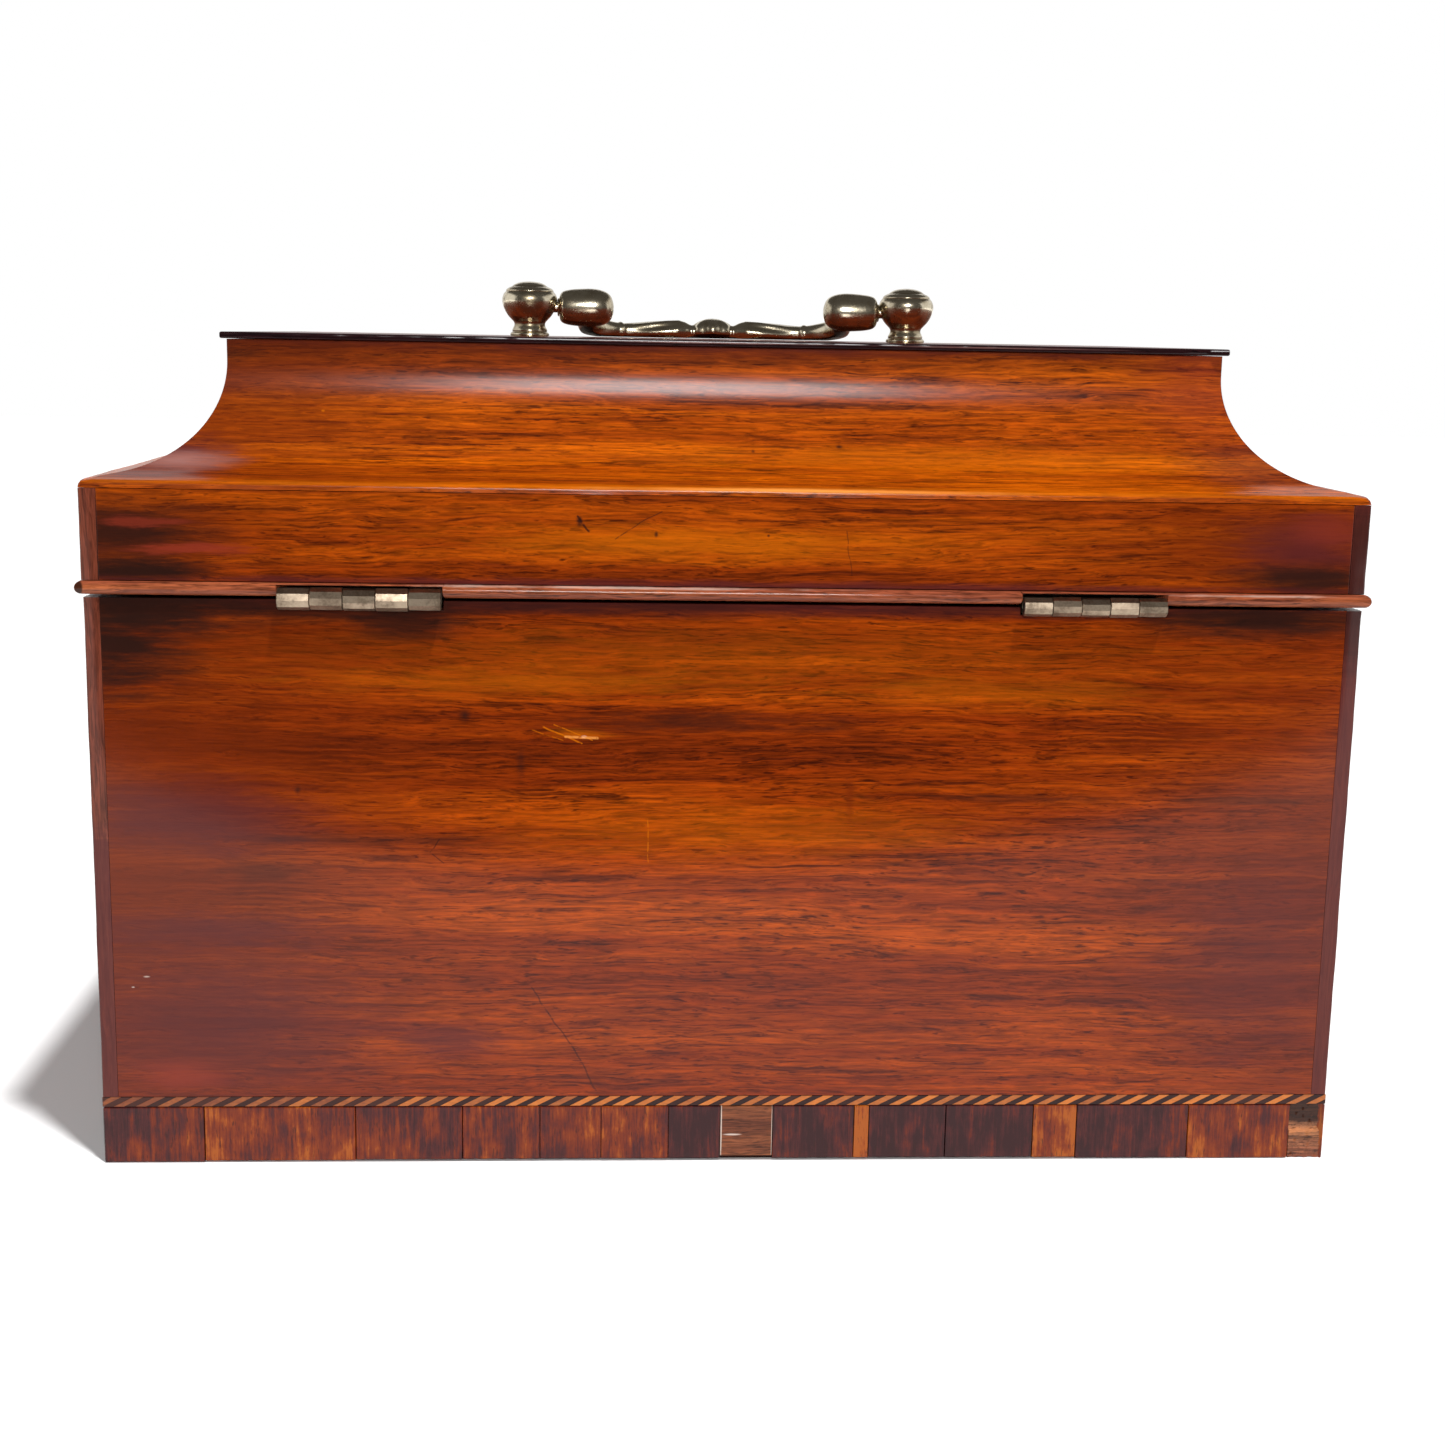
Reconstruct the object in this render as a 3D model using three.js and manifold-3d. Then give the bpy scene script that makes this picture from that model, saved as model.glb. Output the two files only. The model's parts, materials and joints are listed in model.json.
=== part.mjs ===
// A mahogany tea caddy with a concave sarcophagus lid, a brass drop handle and two lidded tea wells.
// Millimetres, +Z up. The origin is the centre of the base. The front looks along -Y, with the hinges at +Y.
// Left and right are as seen from the front, so +X is right.
import * as THREE from "three";
import { mergeVertices } from "three/addons/utils/BufferGeometryUtils.js";
import Module from "manifold-3d";

const wasm = await Module();
wasm.setup();

// ---------------------------------------------------------------- driving dimensions

const lidWidth = 230; // across the lid's rim
const lidDepth = 140; // front to back across the lid's rim
const boxHeight = 105.6; // base to the top edge of the walls
const boxSetBack = 0.2; // the walls stand this far inside the lid's rim
const seam = 0.1; // glue line between two fixed pieces
const mitreGap = 0.08; // half a glue line at a mitred corner
const seatGap = 0.3; // round a piece that is let into a cut seat

const wallThick = 10.4; // carcass walls
const innerEdge = 7.4; // their thickness at the top, where a rebate carries the tea lids
const ledgeDepth = 11.6; // from the walls' top edge down to the rebate's shelf
const bottomThick = 7;

const bandHeight = 10.9; // cross-grained band round the base
const bandThick = 1.2;
const stringHeight = 1.8; // rope-pattern line above the band
const edgingBox = 2.6; // square strip down each corner of the walls
const edgingLid = 2.8; // the same on the lid's rim

const jointGap = 0.6; // open joint between the walls and the lid
const rimHeight = 18.6;
const rimThick = 7.6;
const beadRadius = 1.2; // half-round moulding along the lid's lower edge
const beadProud = 1.0; // how far it stands out from the rim
const beadSeat = 1.5; // rebate in the rim that the bead is glued in

const coveRadius = 20; // hollow moulding of the lid
const coveInset = 22.4; // from the rim's face to the upright part of the hollow
const coveSlope = THREE.MathUtils.degToRad(9); // the hollow runs out to the rim at this slope
const coveEdge = 1.4; // upright edge of the moulding above the rim
const coveUpright = 3.75; // upright part under the cap
const coveBack = 5.6; // wood behind the upright part
const coveBackDrop = 10.8; // how far that wood goes down before it slopes out to the rim
const coveFoot = 14; // width of the moulding where it stands on the rim
const capThick = 1.2; // thin plate over the top, with a lip all round
const capLip = 1.1;
const topBoardThick = 6.8; // board under the cap, inside the hollow mouldings
const liningThick = 3; // panel that closes the lid's underside

const hingeAxisOut = 0.6; // hinge axis outside the rim's back face
const pinRadius = 0.8;
const turnGap = 0.3; // clearance between a turning piece and its neighbour
const leafThick = 1.1;
const leafEdge = 0.6; // metal beside the screws' heads
const knuckles = 5;
const hinges = {
  right: { centre: 66.35, length: 28.8, barrel: 1.9 }, // barrel is the knuckles' radius
  left: { centre: -65.25, length: 26.1, barrel: 1.65 },
};
const screwHead = 1.6;
const screwShank = 0.8;
const screwLength = 6.5;
const screwSpread = 0.27; // each screw stands this share of the hinge's length from its middle

const postSpacing = 78; // between the handle's two posts
const pivotRise = 6; // handle pivot above the cap
const shankRadius = 1.5;
const nutAcross = 7.5;
const nutThick = 2.8;
const handlePin = 1.1; // radius of the handle's ends in the posts
const handlePinReach = 3.2; // how far each end goes into its post
const postInset = 5.8; // from the post's middle to the shoulder of the handle
const gripReach = 27.5; // from the pivot axis to the middle of the grip
const gripUnder = 1.1; // metal below the grip's centreline
const gripRest = 0.3; // gap under the grip when the handle lies down

const partitionThick = 8;
const partitionTop = 2.4; // thickness between the two tea lids
const teaLidThick = 5;
const teaLidGap = 0.4;
const knobHeight = 9;
const knobRadius = 5;

const lockHalfWidth = 20;
const lockHeight = 25;
const lockThick = 5.1; // front to back, its back flush with the inside of the front's top edge
const lockWall = 0.7; // the case's front and back plates
const lockRim = 1.2; // its top, bottom and ends
const linkHalf = [16, 2.2]; // half the link plate's length and width
const linkThick = 1.2;
const loopAt = 9.7; // each loop's distance from the middle
const loopThick = 1.4;
const loopWidth = 3;
const loopRoom = 0.5; // between a loop and its slot in the case
const loopDrop = 8.5; // below the lid's underside
const eyeFoot = 1.4; // metal left below the eye
const eyeHeight = 3;
const eyeWidth = 1.6;
const boltTravel = 4;
const boltStem = 1.8; // upright that carries each hook
const boltBar = 4; // height of the bar
const boltBarGap = 2.6; // from the loops' ends down to the bar
const hookShort = 0.8; // an open bolt's hooks stop this far short of the loops
const keyholeRadius = 1.6;
const keyholeSlot = 5.5; // from the round part's middle to the slot's end
const keyholeDepth = 15; // below the walls' top edge
const escutcheonHalf = [5.5, 9];
const escutcheonThick = 0.8;

// ---------------------------------------------------------------- places worked out from them

const boxHalfX = lidWidth / 2 - boxSetBack;
const boxHalfY = lidDepth / 2 - boxSetBack;
const rimHalfX = lidWidth / 2;
const rimHalfY = lidDepth / 2;
const stringBottom = bandHeight + seam;
const stringTop = stringBottom + stringHeight;
const rimBottom = boxHeight + jointGap;
const rimTop = rimBottom + rimHeight;
const beadTop = rimBottom + 2 * beadRadius;
const coveBottom = rimTop + seam;
const coveCentreInset = coveInset - coveRadius;
const coveRunOutInset = coveCentreInset + coveRadius * Math.sin(coveSlope);
const coveRunOut = coveBottom + coveEdge + coveRunOutInset * Math.tan(coveSlope);
const coveCentreZ = coveRunOut + coveRadius * Math.cos(coveSlope);
const coveTop = coveCentreZ + coveUpright;
const capBottom = coveTop + seam;
const capTop = capBottom + capThick;
const axisY = rimHalfY + hingeAxisOut;
const axisZ = boxHeight + jointGap / 2;
const ledgeHeight = boxHeight - ledgeDepth;
const pivotZ = capTop + pivotRise;
const teaLidBottom = ledgeHeight + seam;
const teaLidTop = teaLidBottom + teaLidThick;

// ---------------------------------------------------------------- materials

const finish = (color, roughness, metalness = 0) =>
  new THREE.MeshStandardMaterial({ color, roughness, metalness });
const mahogany = finish(0x8a3a16, 0.3);
const darkMahogany = finish(0x5a2a1c, 0.35);
const crossband = finish(0x6b2f1e, 0.35);
const ropeInlay = finish(0xa8602c, 0.4);
const innerWood = finish(0x7a4a2a, 0.6);
const velvet = finish(0x2d3d2a, 0.95);
const agedBrass = finish(0x8a7440, 0.35, 1);
const hingeBrass = finish(0x8f7f5c, 0.4, 1);
const steel = finish(0x77736b, 0.45, 1);

// ---------------------------------------------------------------- solids

const caddy = new THREE.Group();

function addMesh(name, geometry, material) {
  const mesh = new THREE.Mesh(geometry, material);
  mesh.name = name;
  caddy.add(mesh);
  return mesh;
}

/** A closed geometry as a manifold-3d solid. */
function toSolid(geometry) {
  const bare = geometry.clone();
  bare.deleteAttribute("normal");
  bare.deleteAttribute("uv");
  const merged = mergeVertices(bare, 1e-4);
  return new wasm.Manifold(
    new wasm.Mesh({
      numProp: 3,
      vertProperties: new Float32Array(merged.attributes.position.array),
      triVerts: new Uint32Array(merged.index.array),
    }),
  );
}

function toGeometry(solid) {
  const made = solid.getMesh();
  return new THREE.BufferGeometry()
    .setAttribute("position", new THREE.BufferAttribute(made.vertProperties, 3))
    .setIndex(new THREE.BufferAttribute(made.triVerts, 1));
}

const cut = (geometry, ...cutters) =>
  toGeometry(cutters.reduce((left, cutter) => left.subtract(toSolid(cutter)), toSolid(geometry)));

const join = (...geometries) =>
  toGeometry(geometries.map(toSolid).reduce((whole, next) => whole.add(next)));

/** A box between two corners, given as [low, high] along each axis. */
function block([x0, x1], [y0, y1], [z0, z1]) {
  const made = new THREE.BoxGeometry(x1 - x0, y1 - y0, z1 - z0);
  return made.translate((x0 + x1) / 2, (y0 + y1) / 2, (z0 + z1) / 2);
}

/** A box centred on the Z axis, from half its width and depth. */
const centredBlock = (halfX, halfY, z) => block([-halfX, halfX], [-halfY, halfY], z);

/** A round rod along X. */
function rodX(radius, x0, x1, y, z, sides = 16) {
  const made = new THREE.CylinderGeometry(radius, radius, x1 - x0, sides);
  return made.rotateZ(Math.PI / 2).translate((x0 + x1) / 2, y, z);
}

/** A round rod along Z. */
function rodZ(radius, z0, z1, x, y, sides = 16) {
  const made = new THREE.CylinderGeometry(radius, radius, z1 - z0, sides);
  return made.rotateX(Math.PI / 2).translate(x, y, (z0 + z1) / 2);
}

/** A turned piece standing on z = 0, from [radius, height] pairs that start and end on the axis. */
function turned(profile, sides = 20) {
  const made = new THREE.LatheGeometry(profile.map(([r, z]) => new THREE.Vector2(r, z)), sides);
  return made.rotateX(Math.PI / 2);
}

/** Four bars round a rectangle, mitred at its corners. The outline's x is the inset from the face. */
function mitredFrame(outline, halfX, halfY) {
  const bar = (halfLength, toFace, turn) => {
    const made = new THREE.ExtrudeGeometry(outline, { depth: 1, bevelEnabled: false, curveSegments: 12 });
    const at = made.attributes.position;
    for (let i = 0; i < at.count; i++) {
      const inset = at.getX(i);
      const along = (1 - 2 * at.getZ(i)) * (halfLength - inset - mitreGap);
      at.setXYZ(i, along, toFace - inset, at.getY(i));
    }
    return made.rotateZ(turn);
  };
  return {
    back: bar(halfX, halfY, 0),
    front: bar(halfX, halfY, Math.PI),
    left: bar(halfY, halfX, Math.PI / 2),
    right: bar(halfY, halfX, -Math.PI / 2),
  };
}

function outlineOf(points) {
  return new THREE.Shape(points.map(([inset, z]) => new THREE.Vector2(inset, z)));
}

/** The four corners of a rectangle with their names. */
function cornersOf(halfX, halfY) {
  return [
    ["front_left", -halfX, -halfY],
    ["front_right", halfX, -halfY],
    ["back_left", -halfX, halfY],
    ["back_right", halfX, halfY],
  ];
}

/** A square strip in each corner of a rectangle, inside its faces. */
function cornerStrip(x, y, side, z0, z1) {
  const inwards = (edge) => (edge > 0 ? [edge - side, edge] : [edge, edge + side]);
  return block(inwards(x), inwards(y), [z0, z1]);
}

/** Cuts the seats for the corner strips out of the four bars of a frame. */
function seatCorners(bars, halfX, halfY, side, z0, z1) {
  const seats = cornersOf(halfX, halfY).map(([, x, y]) => {
    const past = 1; // the cutter runs past the faces
    return cornerStrip(x + Math.sign(x) * past, y + Math.sign(y) * past, side + seatGap + past, z0, z1);
  });
  for (const face of Object.keys(bars)) bars[face] = cut(bars[face], ...seats);
}

// ---------------------------------------------------------------- hinges

/** What is worked out once for a hinge: its ends, the spans of its knuckles and the reach of its leaves. */
function hingeSpans({ centre, length, barrel }) {
  const start = centre - length / 2;
  const pitch = length / knuckles;
  const spans = Array.from({ length: knuckles }, (_, i) => [
    start + i * pitch + turnGap / 2,
    start + (i + 1) * pitch - turnGap / 2,
  ]);
  const screwIn = barrel + turnGap + leafEdge + screwHead + seatGap; // from the axis to the screws
  const reach = screwIn + screwHead + seatGap + leafEdge; // from the axis to the leaf's inner edge
  return { start, end: start + length, spans, screwY: axisY - screwIn, leafY: axisY - reach };
}

/** One leaf with its knuckles. The box leaf has the odd knuckles, the lid leaf the even ones. */
function hingeLeaf(hinge, isLid) {
  const { start, end, spans, screwY, leafY } = hingeSpans(hinge);
  const z = isLid ? [rimBottom, rimBottom + leafThick] : [boxHeight - leafThick, boxHeight];
  const plateEdge = axisY - hinge.barrel - turnGap;
  const plate = block([start + seam, end - seam], [leafY, plateEdge], z);
  const own = spans.filter((_, i) => (i % 2 === 1) === isLid);
  const wraps = own.flatMap((span) => [
    block(span, [plateEdge - seam, axisY], z),
    rodX(hinge.barrel, span[0], span[1], axisY, axisZ, 16),
  ]);
  const eye = rodX(pinRadius + turnGap, start - 1, end + 1, axisY, axisZ, 12);
  const holes = screwPlaces(hinge).map((x) =>
    rodZ(screwHead + seatGap, z[0] - 1, z[1] + 1, x, screwY),
  );
  return cut(join(plate, ...wraps), eye, ...holes);
}

function screwPlaces({ centre, length }) {
  return [centre - screwSpread * length, centre + screwSpread * length];
}

/** A countersunk screw with its head at z = 0 and its point below. */
function countersunkScrew() {
  const blank = turned(
    [
      [0, -screwLength],
      [screwShank * 0.6, -screwLength + 1.2],
      [screwShank, -screwLength + 2],
      [screwShank, -leafThick],
      [screwHead, -0.35],
      [screwHead, 0],
      [0, 0],
    ],
    12,
  );
  return cut(blank, block([-screwHead - 1, screwHead + 1], [-0.22, 0.22], [-0.4, 1]));
}

/** Room in the wood for a leaf, its barrel and its screws. */
function hingeCuts(hinge, isLid) {
  const { start, end, screwY, leafY } = hingeSpans(hinge);
  const x = [start - seatGap, end + seatGap];
  const depth = leafThick + seatGap;
  const z = isLid ? [rimBottom - 1, rimBottom + depth] : [boxHeight - depth, boxHeight + 1];
  const mortise = block(x, [leafY - seatGap, axisY + 3], z);
  const scallop = rodX(hinge.barrel + turnGap, x[0], x[1], axisY, axisZ, 24);
  const pilots = screwPlaces(hinge).map((at) => {
    const deep = screwLength + 0.5;
    const span = isLid ? [rimBottom, rimBottom + deep] : [boxHeight - deep, boxHeight];
    return rodZ(screwShank + seatGap, span[0], span[1], at, screwY);
  });
  return [mortise, scallop, ...pilots];
}

// ---------------------------------------------------------------- lock

const lockY = -(boxHalfY - innerEdge + lockThick / 2 + seam); // middle of the lock's thickness
const lockZ = [boxHeight - lockHeight, boxHeight];
const cavityHalf = lockThick / 2 - lockWall;
const keyholeZ = boxHeight - keyholeDepth;
const eyeBottom = rimBottom - loopDrop + eyeFoot;
const eyeZ = [eyeBottom, eyeBottom + eyeHeight];

/** The span of a piece that is centred in the lock's thickness. */
const acrossLock = (half) => [lockY - half, lockY + half];

/** A keyhole through y0 to y1: a round hole with a slot below it. */
function keyhole(y0, y1) {
  const round = new THREE.CylinderGeometry(keyholeRadius, keyholeRadius, y1 - y0, 16);
  round.translate(0, (y0 + y1) / 2, keyholeZ);
  const half = keyholeRadius * 0.55;
  return join(round, block([-half, half], [y0, y1], [keyholeZ - keyholeSlot, keyholeZ]));
}

/** The lock's case: a thin box with slots in its top for the lid's two loops, and a keyhole. */
function lockCase() {
  const shell = block([-lockHalfWidth, lockHalfWidth], acrossLock(lockThick / 2), lockZ);
  const inside = lockHalfWidth - lockRim;
  const room = block([-inside, inside], acrossLock(cavityHalf), [lockZ[0] + lockRim, lockZ[1] - lockRim]);
  const slots = [-loopAt, loopAt].map((x) => {
    const half = loopThick / 2 + loopRoom;
    return block([x - half, x + half], acrossLock(cavityHalf), [lockZ[1] - lockRim - 1, lockZ[1] + 1]);
  });
  return cut(shell, room, ...slots, keyhole(lockY - lockThick, lockY));
}

/** The bolt: a bar under the loops with two hooks that slide through their eyes. */
function lockBolt() {
  const acrossBar = acrossLock(cavityHalf - seatGap);
  const hookZ = [eyeZ[0] + turnGap, eyeZ[1] - turnGap];
  const tip = loopAt + loopThick / 2 + hookShort; // each hook's tip, measured back from its loop
  const barTop = rimBottom - loopDrop - boltBarGap;
  const hooks = [-tip, 2 * loopAt - tip].flatMap((tipX) => {
    const stem = [tipX - boltTravel - boltStem, tipX - boltTravel];
    return [
      block(stem, acrossBar, [barTop - boltBar / 2, hookZ[1]]),
      block([stem[0] + boltStem / 2, tipX], acrossLock(eyeWidth / 2 - turnGap), hookZ),
    ];
  });
  const bar = block([-tip - boltTravel - boltStem, loopAt], acrossBar, [barTop - boltBar, barTop]);
  return join(bar, ...hooks);
}

/** The plate under the lid's front rim with the two loops that drop into the lock. */
function linkPlate() {
  const plateZ = [rimBottom, rimBottom + linkThick];
  const plate = block([-linkHalf[0], linkHalf[0]], acrossLock(linkHalf[1]), plateZ);
  const across = (x, half, y, z) => block([x - half, x + half], y, z);
  const loopZ = [rimBottom - loopDrop, rimBottom + linkThick / 2];
  const loops = [-loopAt, loopAt].map((x) => across(x, loopThick / 2, acrossLock(loopWidth / 2), loopZ));
  const eyes = [-loopAt, loopAt].map((x) => across(x, loopThick, acrossLock(eyeWidth / 2), eyeZ));
  return cut(join(plate, ...loops), ...eyes);
}

// ---------------------------------------------------------------- box

function buildBox() {
  const half = [boxHalfX, boxHalfY];
  const footInset = bandThick + seam;
  const footTop = stringTop + seam;
  const walls = mitredFrame(
    outlineOf([
      [footInset, 0],
      [wallThick, 0],
      [wallThick, ledgeHeight],
      [innerEdge, ledgeHeight],
      [innerEdge, boxHeight],
      [0, boxHeight],
      [0, footTop],
      [footInset, footTop],
    ]),
    ...half,
  );
  seatCorners(walls, ...half, edgingBox, footTop - 1, boxHeight + 1);
  walls.back = cut(walls.back, ...Object.values(hinges).flatMap((hinge) => hingeCuts(hinge, false)));
  const pocketHalf = lockHalfWidth + seatGap;
  const pocketZ = [lockZ[0] - seatGap, boxHeight + 1];
  const pocket = block([-pocketHalf, pocketHalf], acrossLock(lockThick / 2 + seatGap), pocketZ);
  walls.front = cut(walls.front, pocket, keyhole(-boxHalfY - 1, lockY));
  for (const [face, geometry] of Object.entries(walls)) addMesh(`${face}_board`, geometry, mahogany);

  const clear = wallThick + seam;
  const inX = boxHalfX - clear;
  const inY = boxHalfY - clear;
  addMesh("bottom_board", centredBlock(inX, inY, [0, bottomThick]), innerWood);

  for (const [corner, x, y] of cornersOf(...half))
    addMesh(`corner_edging_${corner}`, cornerStrip(x, y, edgingBox, footTop, boxHeight), darkMahogany);

  const bandOutline = outlineOf([
    [0, 0],
    [bandThick, 0],
    [bandThick, bandHeight],
    [0, bandHeight],
  ]);
  const band = mitredFrame(bandOutline, ...half);
  for (const [face, geometry] of Object.entries(band)) addMesh(`crossband_${face}`, geometry, crossband);

  const ringInner = half.map((edge) => edge - bandThick);
  const ring = cut(
    centredBlock(...half, [stringBottom, stringTop]),
    centredBlock(...ringInner, [stringBottom - 1, stringTop + 1]),
  );
  addMesh("rope_stringing", ring, ropeInlay);

  const partition = join(
    centredBlock(partitionThick / 2, inY, [bottomThick + seam, ledgeHeight]),
    centredBlock(partitionTop / 2, inY, [ledgeHeight - 1, teaLidTop]),
  );
  addMesh("well_partition", partition, innerWood);
}

function buildHinges() {
  for (const [side, hinge] of Object.entries(hinges)) {
    const { start, end, screwY } = hingeSpans(hinge);
    addMesh(`hinge_${side}_box_leaf`, hingeLeaf(hinge, false), hingeBrass);
    addMesh(`hinge_${side}_lid_leaf`, hingeLeaf(hinge, true), hingeBrass);
    addMesh(`hinge_${side}_pin`, rodX(pinRadius, start + seam, end - seam, axisY, axisZ, 12), steel);
    screwPlaces(hinge).forEach((x, i) => {
      const below = addMesh(`hinge_${side}_box_screw_${i + 1}`, countersunkScrew(), hingeBrass);
      below.position.set(x, screwY, boxHeight - 0.05);
      const above = addMesh(`hinge_${side}_lid_screw_${i + 1}`, countersunkScrew(), hingeBrass);
      above.rotation.x = Math.PI;
      above.position.set(x, screwY, rimBottom + 0.05);
    });
  }
}

function buildLock() {
  addMesh("lock_case", lockCase(), hingeBrass);
  addMesh("lock_bolt", lockBolt(), steel);
  addMesh("link_plate", linkPlate(), hingeBrass);

  const oval = new THREE.Shape().absellipse(0, 0, ...escutcheonHalf, 0, Math.PI * 2);
  const options = { depth: escutcheonThick, bevelEnabled: false, curveSegments: 24 };
  const plate = new THREE.ExtrudeGeometry(oval, options);
  plate.rotateX(Math.PI / 2).translate(0, -boxHalfY - seam, keyholeZ - keyholeSlot / 2);
  addMesh("keyhole_escutcheon", cut(plate, keyhole(-boxHalfY - 2, -boxHalfY + 1)), agedBrass);
}

// ---------------------------------------------------------------- lid

/** Section of the hollow moulding: inset from the rim's face against height. */
function coveOutline() {
  const shape = new THREE.Shape();
  shape.moveTo(coveFoot, coveBottom);
  shape.lineTo(coveInset + coveBack, coveTop - coveBackDrop);
  shape.lineTo(coveInset + coveBack, coveTop);
  shape.lineTo(coveInset, coveTop);
  shape.lineTo(coveInset, coveCentreZ);
  shape.absarc(coveCentreInset, coveCentreZ, coveRadius, 0, -Math.PI / 2 + coveSlope, true);
  shape.lineTo(coveEdge / 2, coveBottom + coveEdge + 0.5 * coveEdge * Math.tan(coveSlope));
  shape.lineTo(0, coveBottom + coveEdge * 0.6);
  shape.lineTo(0, coveBottom);
  return shape;
}

function beadOutline() {
  const shape = new THREE.Shape();
  const centre = beadRadius - beadProud;
  shape.moveTo(beadSeat - seam, rimBottom);
  shape.lineTo(beadSeat - seam, beadTop);
  shape.lineTo(centre, beadTop);
  shape.absarc(centre, rimBottom + beadRadius, beadRadius, Math.PI / 2, (Math.PI * 3) / 2, false);
  return shape;
}

function buildLid() {
  const half = [rimHalfX, rimHalfY];
  const beadSeatTop = beadTop + seam;
  const rim = mitredFrame(
    outlineOf([
      [beadSeat, rimBottom],
      [rimThick, rimBottom],
      [rimThick, rimTop],
      [0, rimTop],
      [0, beadSeatTop],
      [beadSeat, beadSeatTop],
    ]),
    ...half,
  );
  seatCorners(rim, ...half, edgingLid, beadSeatTop - 1, rimTop + 1);
  rim.back = cut(rim.back, ...Object.values(hinges).flatMap((hinge) => hingeCuts(hinge, true)));
  const plateSeat = block(
    [-linkHalf[0] - seatGap, linkHalf[0] + seatGap],
    acrossLock(linkHalf[1] + seatGap),
    [rimBottom - 1, rimBottom + linkThick + seatGap],
  );
  rim.front = cut(rim.front, plateSeat);
  for (const [face, geometry] of Object.entries(rim)) addMesh(`lid_rim_${face}`, geometry, mahogany);

  for (const [corner, x, y] of cornersOf(...half))
    addMesh(`lid_edging_${corner}`, cornerStrip(x, y, edgingLid, beadSeatTop, rimTop), darkMahogany);

  const bead = mitredFrame(beadOutline(), ...half);
  const notches = Object.values(hinges).map((hinge) => {
    const { start, end } = hingeSpans(hinge);
    return block([start - 0.2, end + 0.2], [rimHalfY - 5, rimHalfY + 5], [rimBottom - 1, beadTop - 0.5]);
  });
  bead.back = cut(bead.back, ...notches);
  for (const [face, geometry] of Object.entries(bead)) addMesh(`lid_bead_${face}`, geometry, darkMahogany);

  const cove = mitredFrame(coveOutline(), ...half);
  for (const [face, geometry] of Object.entries(cove)) addMesh(`lid_cove_${face}`, geometry, mahogany);

  const capHalf = half.map((edge) => edge - coveInset + capLip);
  const boardHalf = half.map((edge) => edge - coveInset - coveBack - seam);
  const shankHoles = [-1, 1].map((side) =>
    rodZ(shankRadius + seatGap, capBottom - topBoardThick - 1, capTop + 1, (side * postSpacing) / 2, 0),
  );
  const panel = join(
    centredBlock(...capHalf, [capBottom, capTop]),
    centredBlock(...boardHalf, [capBottom - topBoardThick, capTop - seam]),
  );
  addMesh("lid_top_panel", cut(panel, ...shankHoles), mahogany);

  const liningHalf = half.map((edge) => edge - rimThick - seam);
  const liningZ = [rimTop - seam - liningThick, rimTop - seam];
  addMesh("lid_lining", centredBlock(...liningHalf, liningZ), velvet);
}

// ---------------------------------------------------------------- handle

/** A post's turned outline, from its shank's end below the lid to its domed top, with z = 0 on the cap. */
const postProfile = [
  [0, -topBoardThick - capThick - nutThick - 0.6],
  [shankRadius, -topBoardThick - capThick - nutThick - 0.6],
  [shankRadius, seam],
  [4.1, seam],
  [4.1, 0.7],
  [3.4, 1.3],
  [2.9, 2],
  [3.1, 2.7],
  [3.9, 3.4],
  [4.8, 4.3],
  [5.3, 5.3],
  [5.4, 6.2],
  [5.2, 7.4],
  [4.8, 8.5],
  [4.7, 9.3],
  [3.1, 9.6],
  [2.6, 10.3],
  [1.4, 10.9],
  [0, 11.1],
];

/** A round nut blank with six flats and a plain hole for the shank. */
function shankNut() {
  const corner = nutAcross / 2 / Math.cos(Math.PI / 6);
  return cut(rodZ(corner, 0, nutThick, 0, 0, 6), rodZ(shankRadius + turnGap, -1, nutThick + 1, 0, 0));
}

/** One half of the handle's centreline: inset from the post's middle against share of the grip's reach. */
const handlePath = [
  [postInset, 0],
  [9.5, 0.01],
  [12.8, 0.08],
  [13.4, 0.24],
  [12.4, 0.44],
  [11.6, 0.65],
  [13.6, 0.87],
  [19.5, 1],
  [29, 1.01],
  [postSpacing / 2, 1],
];

/** Half widths across the handle's plane and along its normal, by share of the way from pivot to middle. */
const handleSection = [
  [0.0, 1.5, 1.6],
  [0.05, 2.6, 2.9],
  [0.11, 3.3, 3.2],
  [0.17, 3.1, 3.0],
  [0.25, 2.0, 1.9],
  [0.4, 1.5, 1.4],
  [0.58, 1.4, 1.1],
  [0.7, 1.6, 1.1],
  [0.78, 2.3, 1.8],
  [0.84, 2.1, 1.7],
  [0.9, 2.6, 1.9],
  [0.95, 1.7, 1.4],
  [1.0, 1.5, 1.3],
];

function sectionAt(share) {
  const next = handleSection.findIndex(([at]) => at >= share);
  if (next <= 0) return handleSection[0].slice(1);
  const [a, wa, ha] = handleSection[next - 1];
  const [b, wb, hb] = handleSection[next];
  const mix = (share - a) / (b - a);
  return [wa + (wb - wa) * mix, ha + (hb - ha) * mix];
}

/** Where one end of the handle runs inside its post, from its root in the bar to its tip plus some room. */
function pinSpan(sign, room) {
  const root = postSpacing / 2 - postInset;
  return [sign * (root - 1), sign * (root + handlePinReach + room)].sort((a, b) => a - b);
}

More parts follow.
